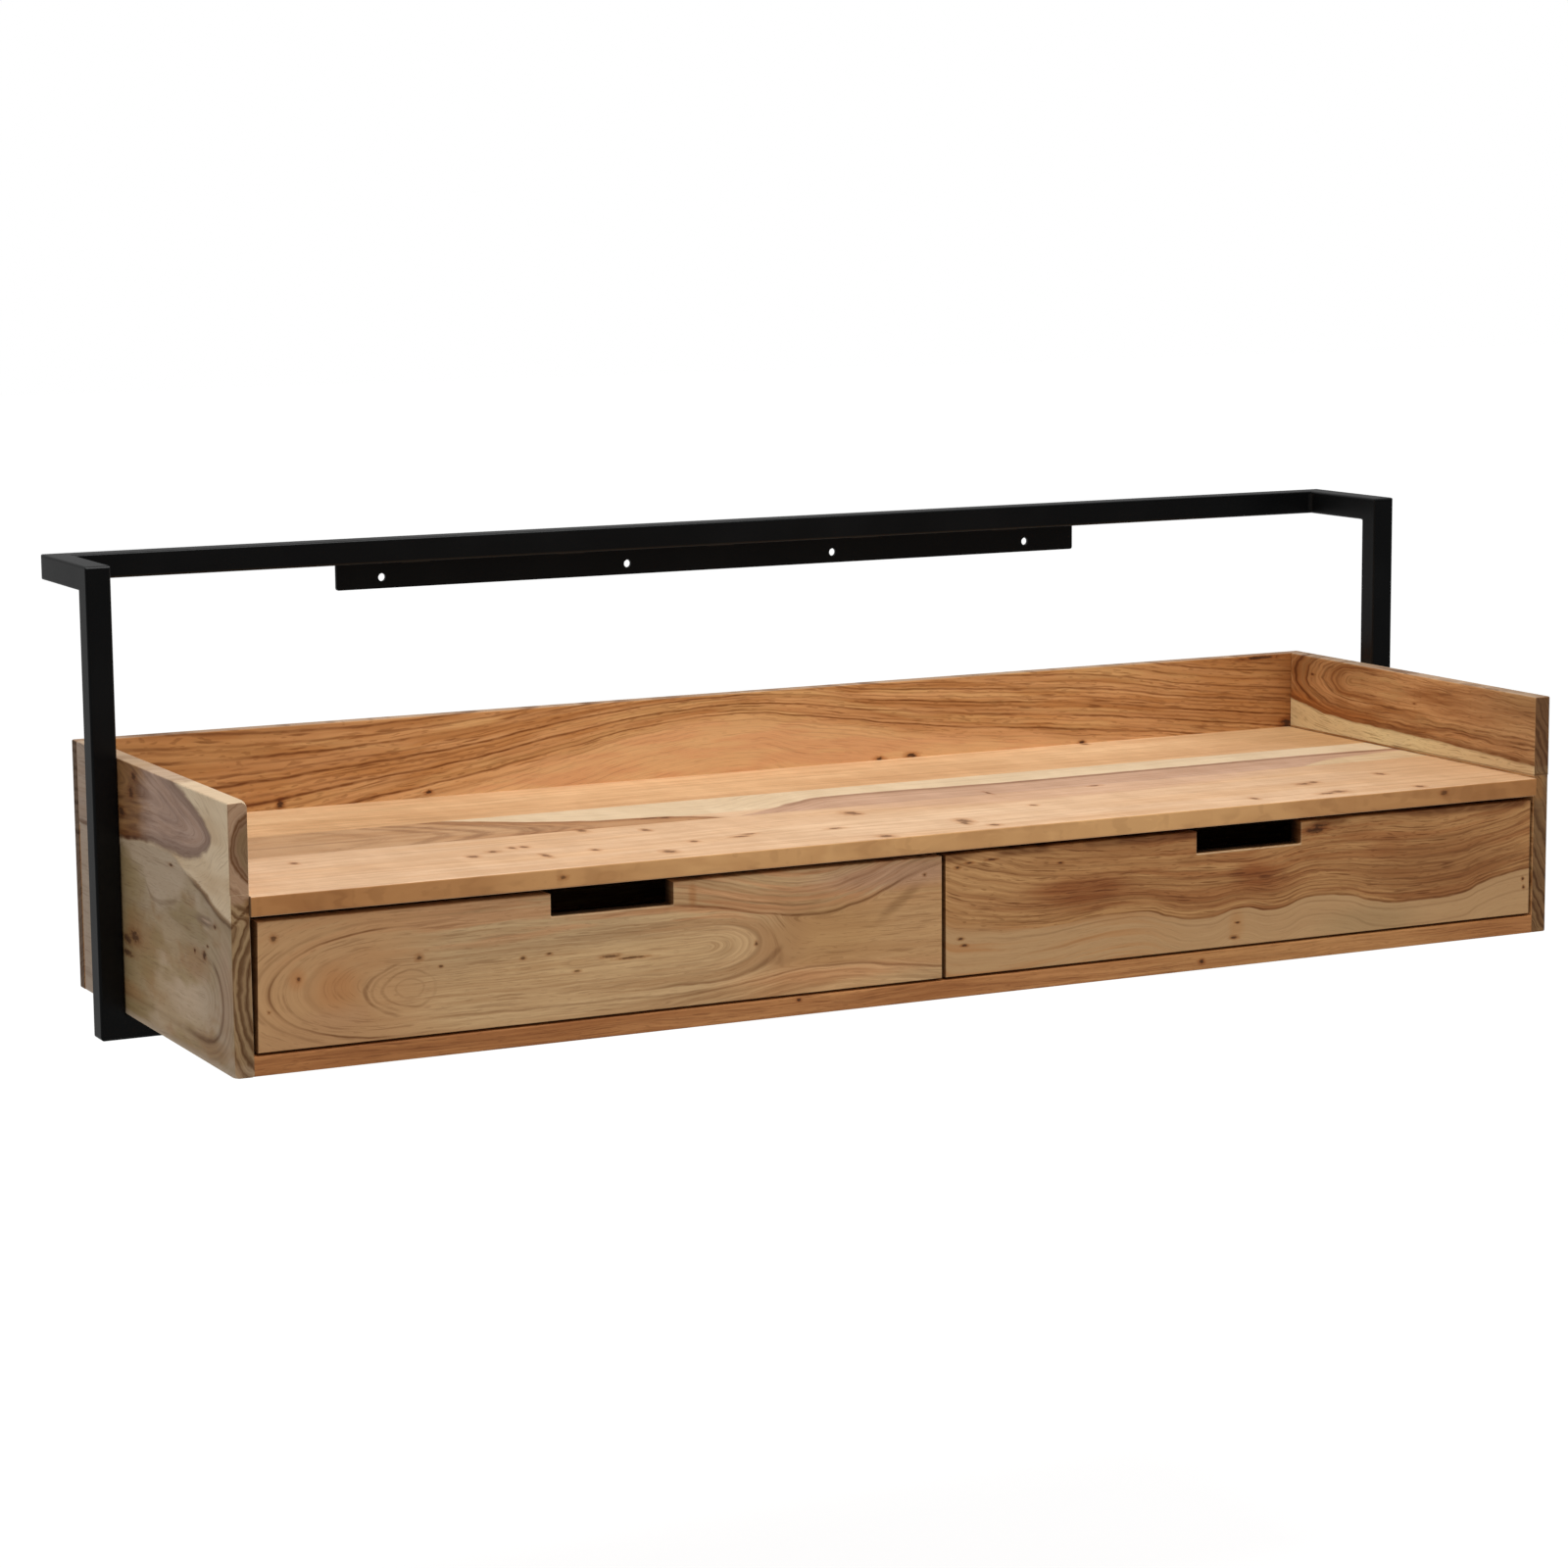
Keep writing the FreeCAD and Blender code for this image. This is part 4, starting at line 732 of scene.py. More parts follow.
def left_panel_wood(tints):
    """A greyed heart in pale sapwood above, and tan wood with a crack below."""
    wood = Wood("left_panel_wood", (Y, Z, X), 3.4, 5.0)
    graph = wood.graph
    along, across, straight, through = wood.along, wood.across, wood.straight, wood.through
    sapwood = partial(scaled, tints.sapwood)
    mauve = partial(scaled, tints.mauve)
    orange = partial(scaled, tints.orange)
    tan = partial(scaled, tints.tan)
    grey_wood_and_painted_top_light = partial(scaled, tints.grey_wood_and_painted_top_light)
    top_edge = wood.guide((
        (-377, -192), (-345, -170), (-322, -157), (-300, -149), (-260, -138), (-200, -122), (0, -85)))
    low_edge = wood.guide((
        (-377, -148), (-345, -164), (-335, -175), (-320, -183), (-290, -190), (-250, -192), (-200, -192),
        (-160, -195), (-120, -199), (0, -203)))
    crack = wood.guide((
        (-377, -227), (-345, -221), (-320, -213), (-290, -206), (-265, -199), (-245, -194),
        (-200, -193.5), (-160, -196), (-120, -200), (0, -204)))
    pale_edge = wood.guide((
        (-377, -227), (-320, -213), (-290, -207), (-270, -216), (-252, -228), (-230, -232), (-205, -235),
        (-186, -229), (-172, -217), (-150, -212), (-120, -203), (0, -204)))
    depth = (top_edge - across).blended_least(across - low_edge, 14.0)
    ragged = (wood.cloud(20, 7, 7) - 0.5) * 6.0
    in_heart = (depth + ragged).eased(-3.5, 2.5)
    upper = (across - crack).eased(-2.0, 2.0)
    loop = wood.heart(-312, 200, -289, 0.76, 0.2)
    rings = loop.towards(depth * 1.3, upper)
    shadow = wood.cloud(110, 26, 26).eased(0.42, 0.7)
    sap = graph.mix(sapwood(1.14, 1.18, 1.24), sapwood(0.96, 0.92, 0.88), shadow)
    swirls = wood.bands(depth, 70, 9.0, 8.0).eased(0.40, 0.60)
    greyed = graph.mix(mauve(1.02, 1.04, 1.10), mauve(0.84, 0.84, 0.90), swirls)
    rear_brown = graph.mix(orange(0.58, 0.54, 0.46), orange(0.34, 0.28, 0.22), swirls)
    rear_part = (along + ragged * 5.0).eased(-205, -160)
    heartwood = graph.mix(greyed, rear_brown, rear_part * 0.95)
    rim = depth.eased(13.0, 1.0) * (0.7 + wood.cloud(40, 20, 20, 1.0, 0.5, 6.0) * 0.4)
    rim_colour = graph.mix(mauve(0.60, 0.58, 0.58), orange(0.34, 0.24, 0.16), rear_part)
    heartwood.coat(rim_colour, rim)
    upper_colour = graph.mix(sap, heartwood, in_heart)
    olive = tan(0.74, 0.70, 0.50)
    grey = tan(1.22, 1.30, 1.55)
    rust = tan(0.82, 0.62, 0.42)
    lower = graph.mix(tints.tan, rust, wood.cloud(46, 30, 30, 3.0, 0.55).eased(0.46, 0.66) * 0.75)
    lower.coat(grey, wood.cloud(60, 38, 38, 3.0, 0.55, 5.0).eased(0.48, 0.66) * 0.65)
    lower.coat(grey, wood.spot(-270, -296, 70, 24) * 0.7)
    lower.coat(olive, wood.cloud(90, 26, 26, 2.0, 0.5, 9.0).eased(0.50, 0.66) * 0.7)
    lower.coat(olive, along.eased(-220, -130) * 0.7)
    lower.coat(rust, (wood.spot(-150, -268, 40, 24) | wood.spot(-296, -266, 40, 18)) * 0.7)
    lower.coat(rust, wood.spot(-125, -316, 60, 12) * 0.8)
    lower.tone((1.20, 1.15, 1.08), wood.spot(-240, -300, 120, 70) * 0.8)
    lens = wood.spot(-318, -232.5, 30, 5.5)
    lower.coat(tan(0.52, 0.44, 0.42), lens * 0.8)
    lower.coat(tan(1.12, 1.06, 1.20), wood.spot(-322, -232, 17, 1.6) * 0.9)
    below_crack = (across - pale_edge + ragged * 2.4).eased(-10.0, 8.0)
    lower.coat(sapwood(0.74, 0.74, 0.80), below_crack * along.eased(-305, -262) * 0.85)
    lower.coat(grey, straight.eased(-331, -337) * 0.9)
    lower.coat(rust, wood.spot(-330, -322, 70, 12) * 0.7)
    lower.coat(tan(1.10, 1.0, 1.08), wood.spot(-362, -278, 26, 56) * 0.7)
    colour = graph.mix(lower, upper_colour, upper)
    stroke = abs(across - crack + ragged * 0.3).eased(5.0, 0.8) * along.eased(-272, -305)
    shade = (crack - across).eased(14.0, 0.0) * (1 - upper) * along.eased(-290, -320) * 0.35
    rear_stroke = abs(across - low_edge - 1.0).eased(2.8, 0.4) * along.eased(-215, -150) * 0.9
    stroke = stroke | shade | rear_stroke
    upper_limb = (across + 289.0).eased(6, 18) * along.eased(-342, -326)
    lower_side = (1 - upper_limb) * (1 - upper)
    fading = 1.0 - along.eased(-320, -250) * 0.6
    rails = wood.drawn(loop, ((32.5, 4.2, 0.8), (41.0, 2.4, 0.3), (46.0, 2.2, 0.3)), 140.0)
    fold = wood.accent(across, pale_edge, 3.4) * along.eased(-262, -246) * along.eased(-172, -190)
    extra = stroke | rails * lower_side * fading | fold * 0.5
    knots = wood.knots((
        (-315, -258, 3.4, 2.8), (-323, -250, 2.0, 1.0), (-293, -258, 2.0, 1.4), (-341, -233, 2.6, 1.2),
        (-152, -160, 5, 3.6), (-127, -178, 6, 3), (-160, -147, 5, 2.4), (-148, -272, 10, 4.0),
        (-130, -277, 8, 3.0), (-128, -288, 12, 2.0), (-244, -202, 4, 1.0)))
    arcs = wood.arcs(((-278, -538, 0.60), (-172, -556, 0.80)))
    rings = rings.towards(arcs, wood.end_grain)
    joint = wood.accent(straight - through * 1.05, 380.5, 3.2)
    upper_end = straight.eased(-214, -208)
    end_lines = wood.drawn(arcs, (
        (19.0, 2.0, 0.6), (25.0, 2.8, 1.0), (31.0, 3.0, 1.0), (36.5, 2.8, 1.0), (42.0, 2.6, 0.9),
        (48.0, 2.4, 0.7)), 300.0) * (1 - upper_end)
    pith_ring = arcs.eased(16.5, 19.5) * arcs.eased(25.0, 22.0) * upper_end
    end_lines = end_lines | pith_ring | joint
    extra = extra.towards(end_lines, wood.end_grain)
    end_colour = graph.mix(tan(1.06, 1.02, 0.92), mauve(0.98, 0.98, 1.0), upper_end * 0.8)
    end_colour.coat(tan(0.50, 0.42, 0.32), arcs.eased(20.0, 15.0) * upper_end)
    reddish = straight.eased(-229, -221) * straight.eased(-205, -211) * through.eased(-571, -567)
    end_colour.coat(orange(0.62, 0.66, 0.60), reddish)
    end_colour.coat(tan(1.3, 1.34, 1.5), straight.eased(-326, -331) * 0.8)
    colour.coat(end_colour, wood.end_grain * 0.85)
    colour.coat(grey_wood_and_painted_top_light(1.16, 1.24, 1.36), along.eased(-70, -40) * 0.8)
    # Painted light: the upward faces near the top take their own greyer tone.
    painted_top_tone = wood.facing(Z, 1) * straight.eased(-180, -170)
    colour.coat(sapwood(0.86, 0.82, 0.82), painted_top_tone * 0.6)
    lines = 0.14 + wood.end_grain * 0.5
    calm = ((1 - in_heart) * upper * 0.85 | (1 - upper) * 0.55) * (1 - wood.end_grain)
    return wood.finish(
        colour, rings, tints, pitch=6.5, width=1.8, lines=lines, contrast=0.5, dashes=0.3, extra=extra,
        knots=knots, end_tone=(0.78, 0.70, 0.62), calm=calm, knot_share=0.78)


def right_panel_wood(tints, seam):
    """Looped rings at the rear of the upper board, and sapwood at its lower edge."""
    wood = Wood("right_panel_wood", (Y, Z, X), 6.2, 4.0)
    graph = wood.graph
    along, across, straight, through = wood.along, wood.across, wood.straight, wood.through
    orange = partial(scaled, tints.orange)
    sapwood = partial(scaled, tints.sapwood)
    grey_wood_and_painted_top_light = partial(scaled, tints.grey_wood_and_painted_top_light)
    tan = partial(scaled, tints.tan)
    low_edge = wood.guide((
        (-377, -196), (-300, -193), (-240, -191.5), (-150, -190.5), (-90, -189), (-45, -184), (0, -176)))
    depth = across - low_edge
    ripple = wood.cloud(32, 10, 10, 1.0, 0.5, 12.0) - 0.5
    loops = wood.heart(-900, -112, -154, 0.0, 0.36) + ripple * 5.5
    lower_rings = wood.heart(-300, -200, -292, 0.12, 0.10)
    upper = straight.eased(seam - 0.15, seam + 0.15)
    rings = lower_rings.towards(loops, upper)
    in_heart = (depth + (wood.cloud(24, 6, 6) - 0.5) * 3.0).eased(-0.8, 0.8)
    rear_part = along.eased(-250, -150)
    extra = wood.drawn(loops, (
        (9.5, 1.4, 1.0), (12.5, 0.9, 0.6), (17.0, 1.1, 0.9), (21.5, 0.9, 0.6), (26.0, 1.1, 0.8),
        (29.0, 0.8, 0.4), (33.0, 1.2, 0.8)), 70.0) * rear_part
    extra |= wood.drawn(loops, (
        (21.5, 1.5, 0.8), (25.0, 1.5, 0.9), (28.5, 1.6, 0.8), (17.0, 1.3, 0.5)), 30.0) * (1 - rear_part)
    extra *= upper
    extra |= wood.accent(depth, 1.4, 4.0) * upper * (0.75 + along.eased(-250, -377) * 0.25)
    extra |= wood.accent(straight, seam + 0.8, 0.9) * along.eased(-166, -178) * 0.8
    brown = orange(0.66, 0.54, 0.42)
    gold = orange(0.90, 1.06, 1.05)
    dark = orange(0.52, 0.38, 0.26)
    fire = orange(0.80, 0.56, 0.34)
    colour = graph.mix(tints.orange, brown, wood.bands(rings, 90, 7.0, 8.0).eased(0.40, 0.64))
    colour.coat(gold, wood.bands(rings, 60, 9.0, 9.0).eased(0.48, 0.66) * 0.4)
    colour.coat(orange(0.74, 0.76, 0.80), along.eased(-210, -340) * upper * 0.7)
    colour.coat(brown, depth.eased(18, 5) * upper * along.eased(-330, -200) * 0.5)
    upper_rim = straight.eased(-164, -150) * abs(along + 240.0).eased(50, 125)
    colour.tone((0.80, 0.80, 0.76), upper_rim * 0.8)
    deep_bands = wood.bands(loops, 60, 2.6, 4.0).eased(0.38, 0.66) * along.eased(-175, -60)
    colour.coat(dark, deep_bands * upper * 0.6)
    colour.coat(fire, depth.eased(12, 4) * along.eased(-170, -100) * upper * 0.7)
    sap = graph.mix(sapwood(1.16, 1.20, 1.02), sapwood(0.94, 0.88, 0.74), along.eased(-200, -377))
    shown = graph.mix(sap, colour, in_heart)
    colour.coat(shown, upper)
    # Painted light: the upward faces take their own greyer tone.
    colour.coat(grey_wood_and_painted_top_light(0.92, 0.94, 0.94), wood.facing(Z, 1) * 0.7)
    knots = wood.knots((
        (-205, -163, 2.0, 0.7), (-48, -154, 2.2, 0.9), (-168, -271, 6, 4), (-300, -300, 5, 3)))
    slant = straight * 0.46 + (through - 572.5) * 0.88 + (wood.cloud(30, 12, 12) - 0.5) * 9.0
    rings = rings.towards(slant, wood.end_grain)
    end_lines = wood.drawn(slant, (
        (-150.0, 2.2, 0.9), (-145.0, 1.8, 0.8), (-138.0, 2.6, 0.9), (-127.5, 3.6, 1.0),
        (-121.5, 1.8, 0.7), (-115.0, 4.4, 1.0), (-104.0, 1.6, 0.4), (-90.0, 3.4, 0.9),
        (-83.0, 2.4, 0.8), (-76.0, 3.6, 0.9), (-69.0, 2.6, 0.8)), 300.0)
    end_lines |= wood.accent(straight, seam + 1.0, 1.6) * 0.8
    extra = extra.towards(end_lines, wood.end_grain)
    upper_end = straight.eased(seam, seam + 12)
    end_colour = graph.mix(tan(0.90, 0.78, 0.62), orange(0.52, 0.50, 0.56), upper_end * 0.7)
    glow = abs(straight + 214.0).eased(14.0, 7.0) * through.eased(578.0, 571.0)
    end_colour.coat(orange(1.05, 1.10, 1.0), glow * 0.9)
    colour.coat(end_colour * (0.72, 0.74, 0.78), wood.end_grain * 0.85)
    lines = 0.5 + wood.end_grain * 0.3
    return wood.finish(
        colour, rings, tints, pitch=5.5, width=1.2, lines=lines, contrast=0.7, dashes=0.6, extra=extra,
        knots=knots, end_tone=(0.72, 0.62, 0.52), calm=(1 - in_heart) * upper * 0.8, knot_share=0.8)


def plain_wood(name, colour, axes, tints, seed):
    """Planed boards inside the desk."""
    wood = Wood(name, axes, seed)
    graph = wood.graph
    rings = wood.across + wood.through * 1.2 + (wood.cloud(300, 50, 50) - 0.5) * 46
    darker = scaled(colour, 0.82, 0.76, 0.70)
    shade = graph.mix(colour, darker, wood.cloud(150, 26, 26).eased(0.4, 0.7))
    return wood.finish(
        shade, rings, tints, pitch=9.0, width=1.4, lines=0.3, contrast=0.6, dashes=0.4,
        end_tone=(0.70, 0.64, 0.58), gloss=0.55)


def plywood(tints):
    """A pale veneer, with its plies on the edge."""
    wood = Wood("plywood", (X, Y, Z), 8.8)
    graph = wood.graph
    face = graph.mix(tints.veneer, tints.inner, wood.cloud(260, 30, 30, 3.0).eased(0.45, 0.8) * 0.5)
    edge = 1 - (wood.facing(Z, 1) | wood.facing(Z, -1))
    ply = wood.through - wood.through.floor()
    core = abs(ply - 0.5).eased(0.10, 0.24)
    colour = graph.mix(face, graph.mix(tints.veneer, tints.ply_core, core), edge)
    rings = wood.across + (wood.cloud(300, 50, 50) - 0.5) * 60
    return wood.finish(
        colour, rings, tints, pitch=14.0, width=2.0, lines=0.2, contrast=0.4, dashes=0.2,
        end_tone=(0.85, 0.80, 0.75), gloss=0.6)


# ---------------------------------------------------------------- metals

def powder_coat(tints):
    """Satin black with a faint orange-peel."""
    material = bpy.data.materials.new("black_powder_coat")
    graph = Graph(material)
    place = graph.coordinates("Object") * MILLIMETRES
    peel = graph.noise(place / 1.3, 1.0)
    haze = graph.noise(place / 70.0, 3.0)
    dust = graph.noise(place / 0.35, 0.0).eased(0.70, 0.78)
    grey = tuple(value * 2.0 + 0.002 for value in tints.black)
    colour = graph.mix(tints.black, grey, haze.eased(0.4, 0.75) * 0.35 + dust * 0.25)
    graph.surface({
        "Base Color": colour, "Roughness": 0.36 + haze * 0.14 + peel * 0.04,
        "Specular IOR Level": 0.10, "Coat Weight": 0.25, "Coat Roughness": 0.25,
        "Normal": graph.bumped(peel, 0.00004)})
    return material


def plated_steel(name, colour, roughness, streaks):
    """Zinc plate with drawing marks along the sheet."""
    material = bpy.data.materials.new(name)
    graph = Graph(material)
    place = graph.coordinates("Object") * MILLIMETRES
    marks = graph.noise(place * tuple(1.0 / run for run in streaks), 3.0)
    bloom = graph.noise(place / 18.0, 3.0)
    darker = tuple(value * 0.72 for value in colour)
    graph.surface({
        "Base Color": graph.mix(colour, darker, bloom.eased(0.35, 0.75) * 0.5 + marks * 0.2),
        "Metallic": 1.0, "Roughness": roughness + marks * 0.14 + bloom * 0.08,
        "Normal": graph.bumped(marks, 0.00002)})
    return material


# ---------------------------------------------------------------- modelling

SAME_PLACE = 1e-5   # metres within which two places are one


def pick(piece):
    """Selects one object alone and makes it active."""
    bpy.ops.object.select_all(action="DESELECT")
    piece.select_set(True)
    bpy.context.view_layer.objects.active = piece


def block(name, low, high):
    """A block between two corners, with its place in its mesh."""
    low, high = Vector(low), Vector(high)
    bpy.ops.object.select_all(action="DESELECT")
    bpy.ops.mesh.primitive_cube_add(size=1, location=(low + high) / 2, scale=high - low)
    piece = bpy.context.active_object
    piece.name = piece.data.name = name
    bpy.ops.object.transform_apply(location=True, rotation=True, scale=True)
    return piece


def edit_selected(piece, kind, wanted):
    """Selects the corners, or the edges by their middle, that pass the test, in edit mode."""
    pick(piece)
    bpy.ops.object.mode_set(mode="EDIT")
    bpy.ops.mesh.select_mode(type=kind)
    bpy.ops.mesh.select_all(action="DESELECT")
    bpy.ops.object.mode_set(mode="OBJECT")
    mesh = piece.data
    if kind == "VERT":
        for vertex in mesh.vertices:
            vertex.select = wanted(vertex.co)
    else:
        for edge in mesh.edges:
            first, second = (mesh.vertices[index].co for index in edge.vertices)
            edge.select = wanted((first + second) / 2)
    bpy.ops.object.mode_set(mode="EDIT")


def ease_edges(piece, radius, wanted, segments=3):
    """Bevels the edges whose middle passes the test."""
    edit_selected(piece, "EDGE", wanted)
    bpy.ops.mesh.bevel(offset=radius, segments=segments, profile=0.5, affect="EDGES")
    bpy.ops.object.mode_set(mode="OBJECT")


def carve(piece, cutter):
    """Cuts one block out of a piece."""
    pick(piece)
    cut = piece.modifiers.new("cut", "BOOLEAN")
    cut.operation = "DIFFERENCE"
    cut.solver = "EXACT"
    cut.object = cutter
    bpy.ops.object.modifier_apply(modifier=cut.name)
    bpy.data.objects.remove(cutter, do_unlink=True)


def join(pieces, name):
    bpy.ops.object.select_all(action="DESELECT")
    for piece in pieces:
        piece.select_set(True)
    bpy.context.view_layer.objects.active = pieces[0]
    if len(pieces) > 1:
        bpy.ops.object.join()
    joined = bpy.context.active_object
    joined.name = joined.data.name = name
    return joined


def smooth(piece):
    """Smooth shading over the eased edges, with the flat faces kept flat."""
    pick(piece)
    bpy.ops.object.shade_smooth_by_angle(angle=math.radians(35))
    weighted = piece.modifiers.new("flat_faces", "WEIGHTED_NORMAL")
    weighted.keep_sharp = True
    bpy.ops.object.modifier_apply(modifier=weighted.name)


def place_for(piece, node, material):
    """Puts a finished piece on its node's body, in its node's place."""
    piece.data.materials.clear()
    piece.data.materials.append(material)
    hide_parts(node)
    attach(piece, BODY_OF[node])


def sand_corner(piece, place, radius, stretch):
    """Rounds one corner of a board, this many times as far along Y as along the other axes."""
    at_place = lambda corner: (corner - place).length < 1e-3
    if not any(at_place(vertex.co) for vertex in piece.data.vertices):
        return
    edit_selected(piece, "VERT", at_place)
    bpy.ops.mesh.bevel(offset=radius, segments=5, profile=0.5, affect="VERTICES")
    bpy.ops.transform.resize(value=(1, stretch, 1), center_override=place)
    bpy.ops.object.mode_set(mode="OBJECT")


def plane_off(piece, place, offset):
    """Moves the corners of a block that lie at this place along X and Z."""
    edit_selected(piece, "VERT", lambda corner: (
        max(abs(corner.x - place[0]), abs(corner.z - place[1])) < SAME_PLACE))
    bpy.ops.transform.translate(value=offset)
    bpy.ops.object.mode_set(mode="OBJECT")


def near_corner(middle, sanded):
    """True within a sanded corner."""
    for place, radius, stretch in sanded:
        across, along, up = (abs(value) for value in middle - place)
        if max(across, along / stretch, up) < radius * 0.99:
            return True
    return False


def loose_parts(mesh):
    """The corners of each loose part. Corners at one place count as one."""
    places = [tuple(round(value, 7) for value in vertex.co) for vertex in mesh.vertices]
    part_of = {place: {place} for place in places}
    for edge in mesh.edges:
        smaller, larger = sorted((part_of[places[index]] for index in edge.vertices), key=len)
        if smaller is not larger:
            larger.update(smaller)
            for place in smaller:
                part_of[place] = larger
    return list({id(part): part for part in part_of.values()}.values())


def screw_heads(node):
    """Each screw's head: its width, its middle, the axis it lies on and the way it looks."""
    heads = []
    for corners in loose_parts(NODES[node].data):
        spans = [max(values) - min(values) for values in zip(*corners)]
        axis = spans.index(max(spans))
        ends = []
        for furthest, way in ((min, -1), (max, 1)):
            level = furthest(corner[axis] for corner in corners)
            rim = [corner for corner in corners if abs(corner[axis] - level) < SAME_PLACE]
            width = max(max(values) - min(values) for values in zip(*rim))
            middle = Vector([(max(values) + min(values)) / 2 for values in zip(*rim)])
            ends.append((width, middle, axis, way))
        heads.append(max(ends, key=lambda end: end[0]))
    return heads


def screw_seat(width, middle, axis, way):
    """A cone that cuts a countersunk screw's seat, a little wider than its head."""
    gap, rise = 0.00015, 0.0004
    depth = width / 4
    towards = Vector([way if index == axis else 0 for index in range(3)])
    turned = towards.to_track_quat("Z", "Y").to_euler()
    bpy.ops.object.select_all(action="DESELECT")
    bpy.ops.mesh.primitive_cone_add(
        vertices=40, radius1=width / 2 - depth + gap, radius2=width / 2 + rise + gap, depth=depth + rise,
        location=middle + towards * (rise - depth) / 2, rotation=turned)
    bpy.ops.object.transform_apply(location=True, rotation=True, scale=True)
    return bpy.context.active_object


def cut_recess(piece, width, middle, axis, way):
    """Cuts a cross recess in a screw's head."""
    arm, half_blade, depth, above = (width * share for share in (0.29, 0.075, 0.22, 0.1))
    across = [index for index in range(3) if index != axis]
    for long_axis, short_axis in (across, reversed(across)):
        low, high = middle.copy(), middle.copy()
        for index, reach in ((long_axis, arm), (short_axis, half_blade)):
            low[index] -= reach
            high[index] += reach
        low[axis], high[axis] = sorted((middle[axis] - way * depth, middle[axis] + way * above))
        carve(piece, block("blade", low, high))


def glued_panel(name, node, seams, axis, sizes, material, step=0.0, sanded=(), heads=()):
    """A panel of boards glued edge to edge, at the seams' places along an axis.

    The first board's outer face is set in by the step, which is below 0 on the desk's right.
    """
    low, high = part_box(node)
    levels = [low[axis], *seams, high[axis]]
    boards = []
    for index, (start, end) in enumerate(zip(levels, levels[1:])):
        corner, opposite = low.copy(), high.copy()
        corner[axis], opposite[axis] = start, end
        if step and index == 0:
            (corner if step > 0 else opposite)[X] += step
        board = block(name, corner, opposite)
        for corner_sanded in sanded:
            sand_corner(board, *corner_sanded)
        inner = [level for level in (start, end) if level in seams]
        at_seam = lambda middle: any(abs(middle[axis] - level) < SAME_PLACE for level in inner)
        ease_edges(
            board, sizes.edge, lambda middle: not at_seam(middle) and not near_corner(middle, sanded))
        if inner:
            ease_edges(board, sizes.seam, at_seam, 1)
        for head in heads:
            if start < head[1][axis] < end:
                carve(board, screw_seat(*head))
        boards.append(board)
    panel = join(boards, name)
    smooth(panel)
    place_for(panel, node, material)


def plain_board(name, node, sizes, material):
    """A board of which only the long edges of the front are eased."""
    low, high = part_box(node)
    board = block(name, low, high)
    in_front = low.y + sizes.edge
    ease_edges(board, sizes.edge, lambda middle: middle.y < in_front and abs(middle.x) < high.x / 2)
    smooth(board)
    place_for(board, node, material)


def finish_nodes(wanted, material):
    """Gives carried-over nodes their finish."""
    for name in wanted:
        mesh = NODES[name].data
        mesh.materials.clear()
        mesh.materials.append(material)


# ---------------------------------------------------------------- operators

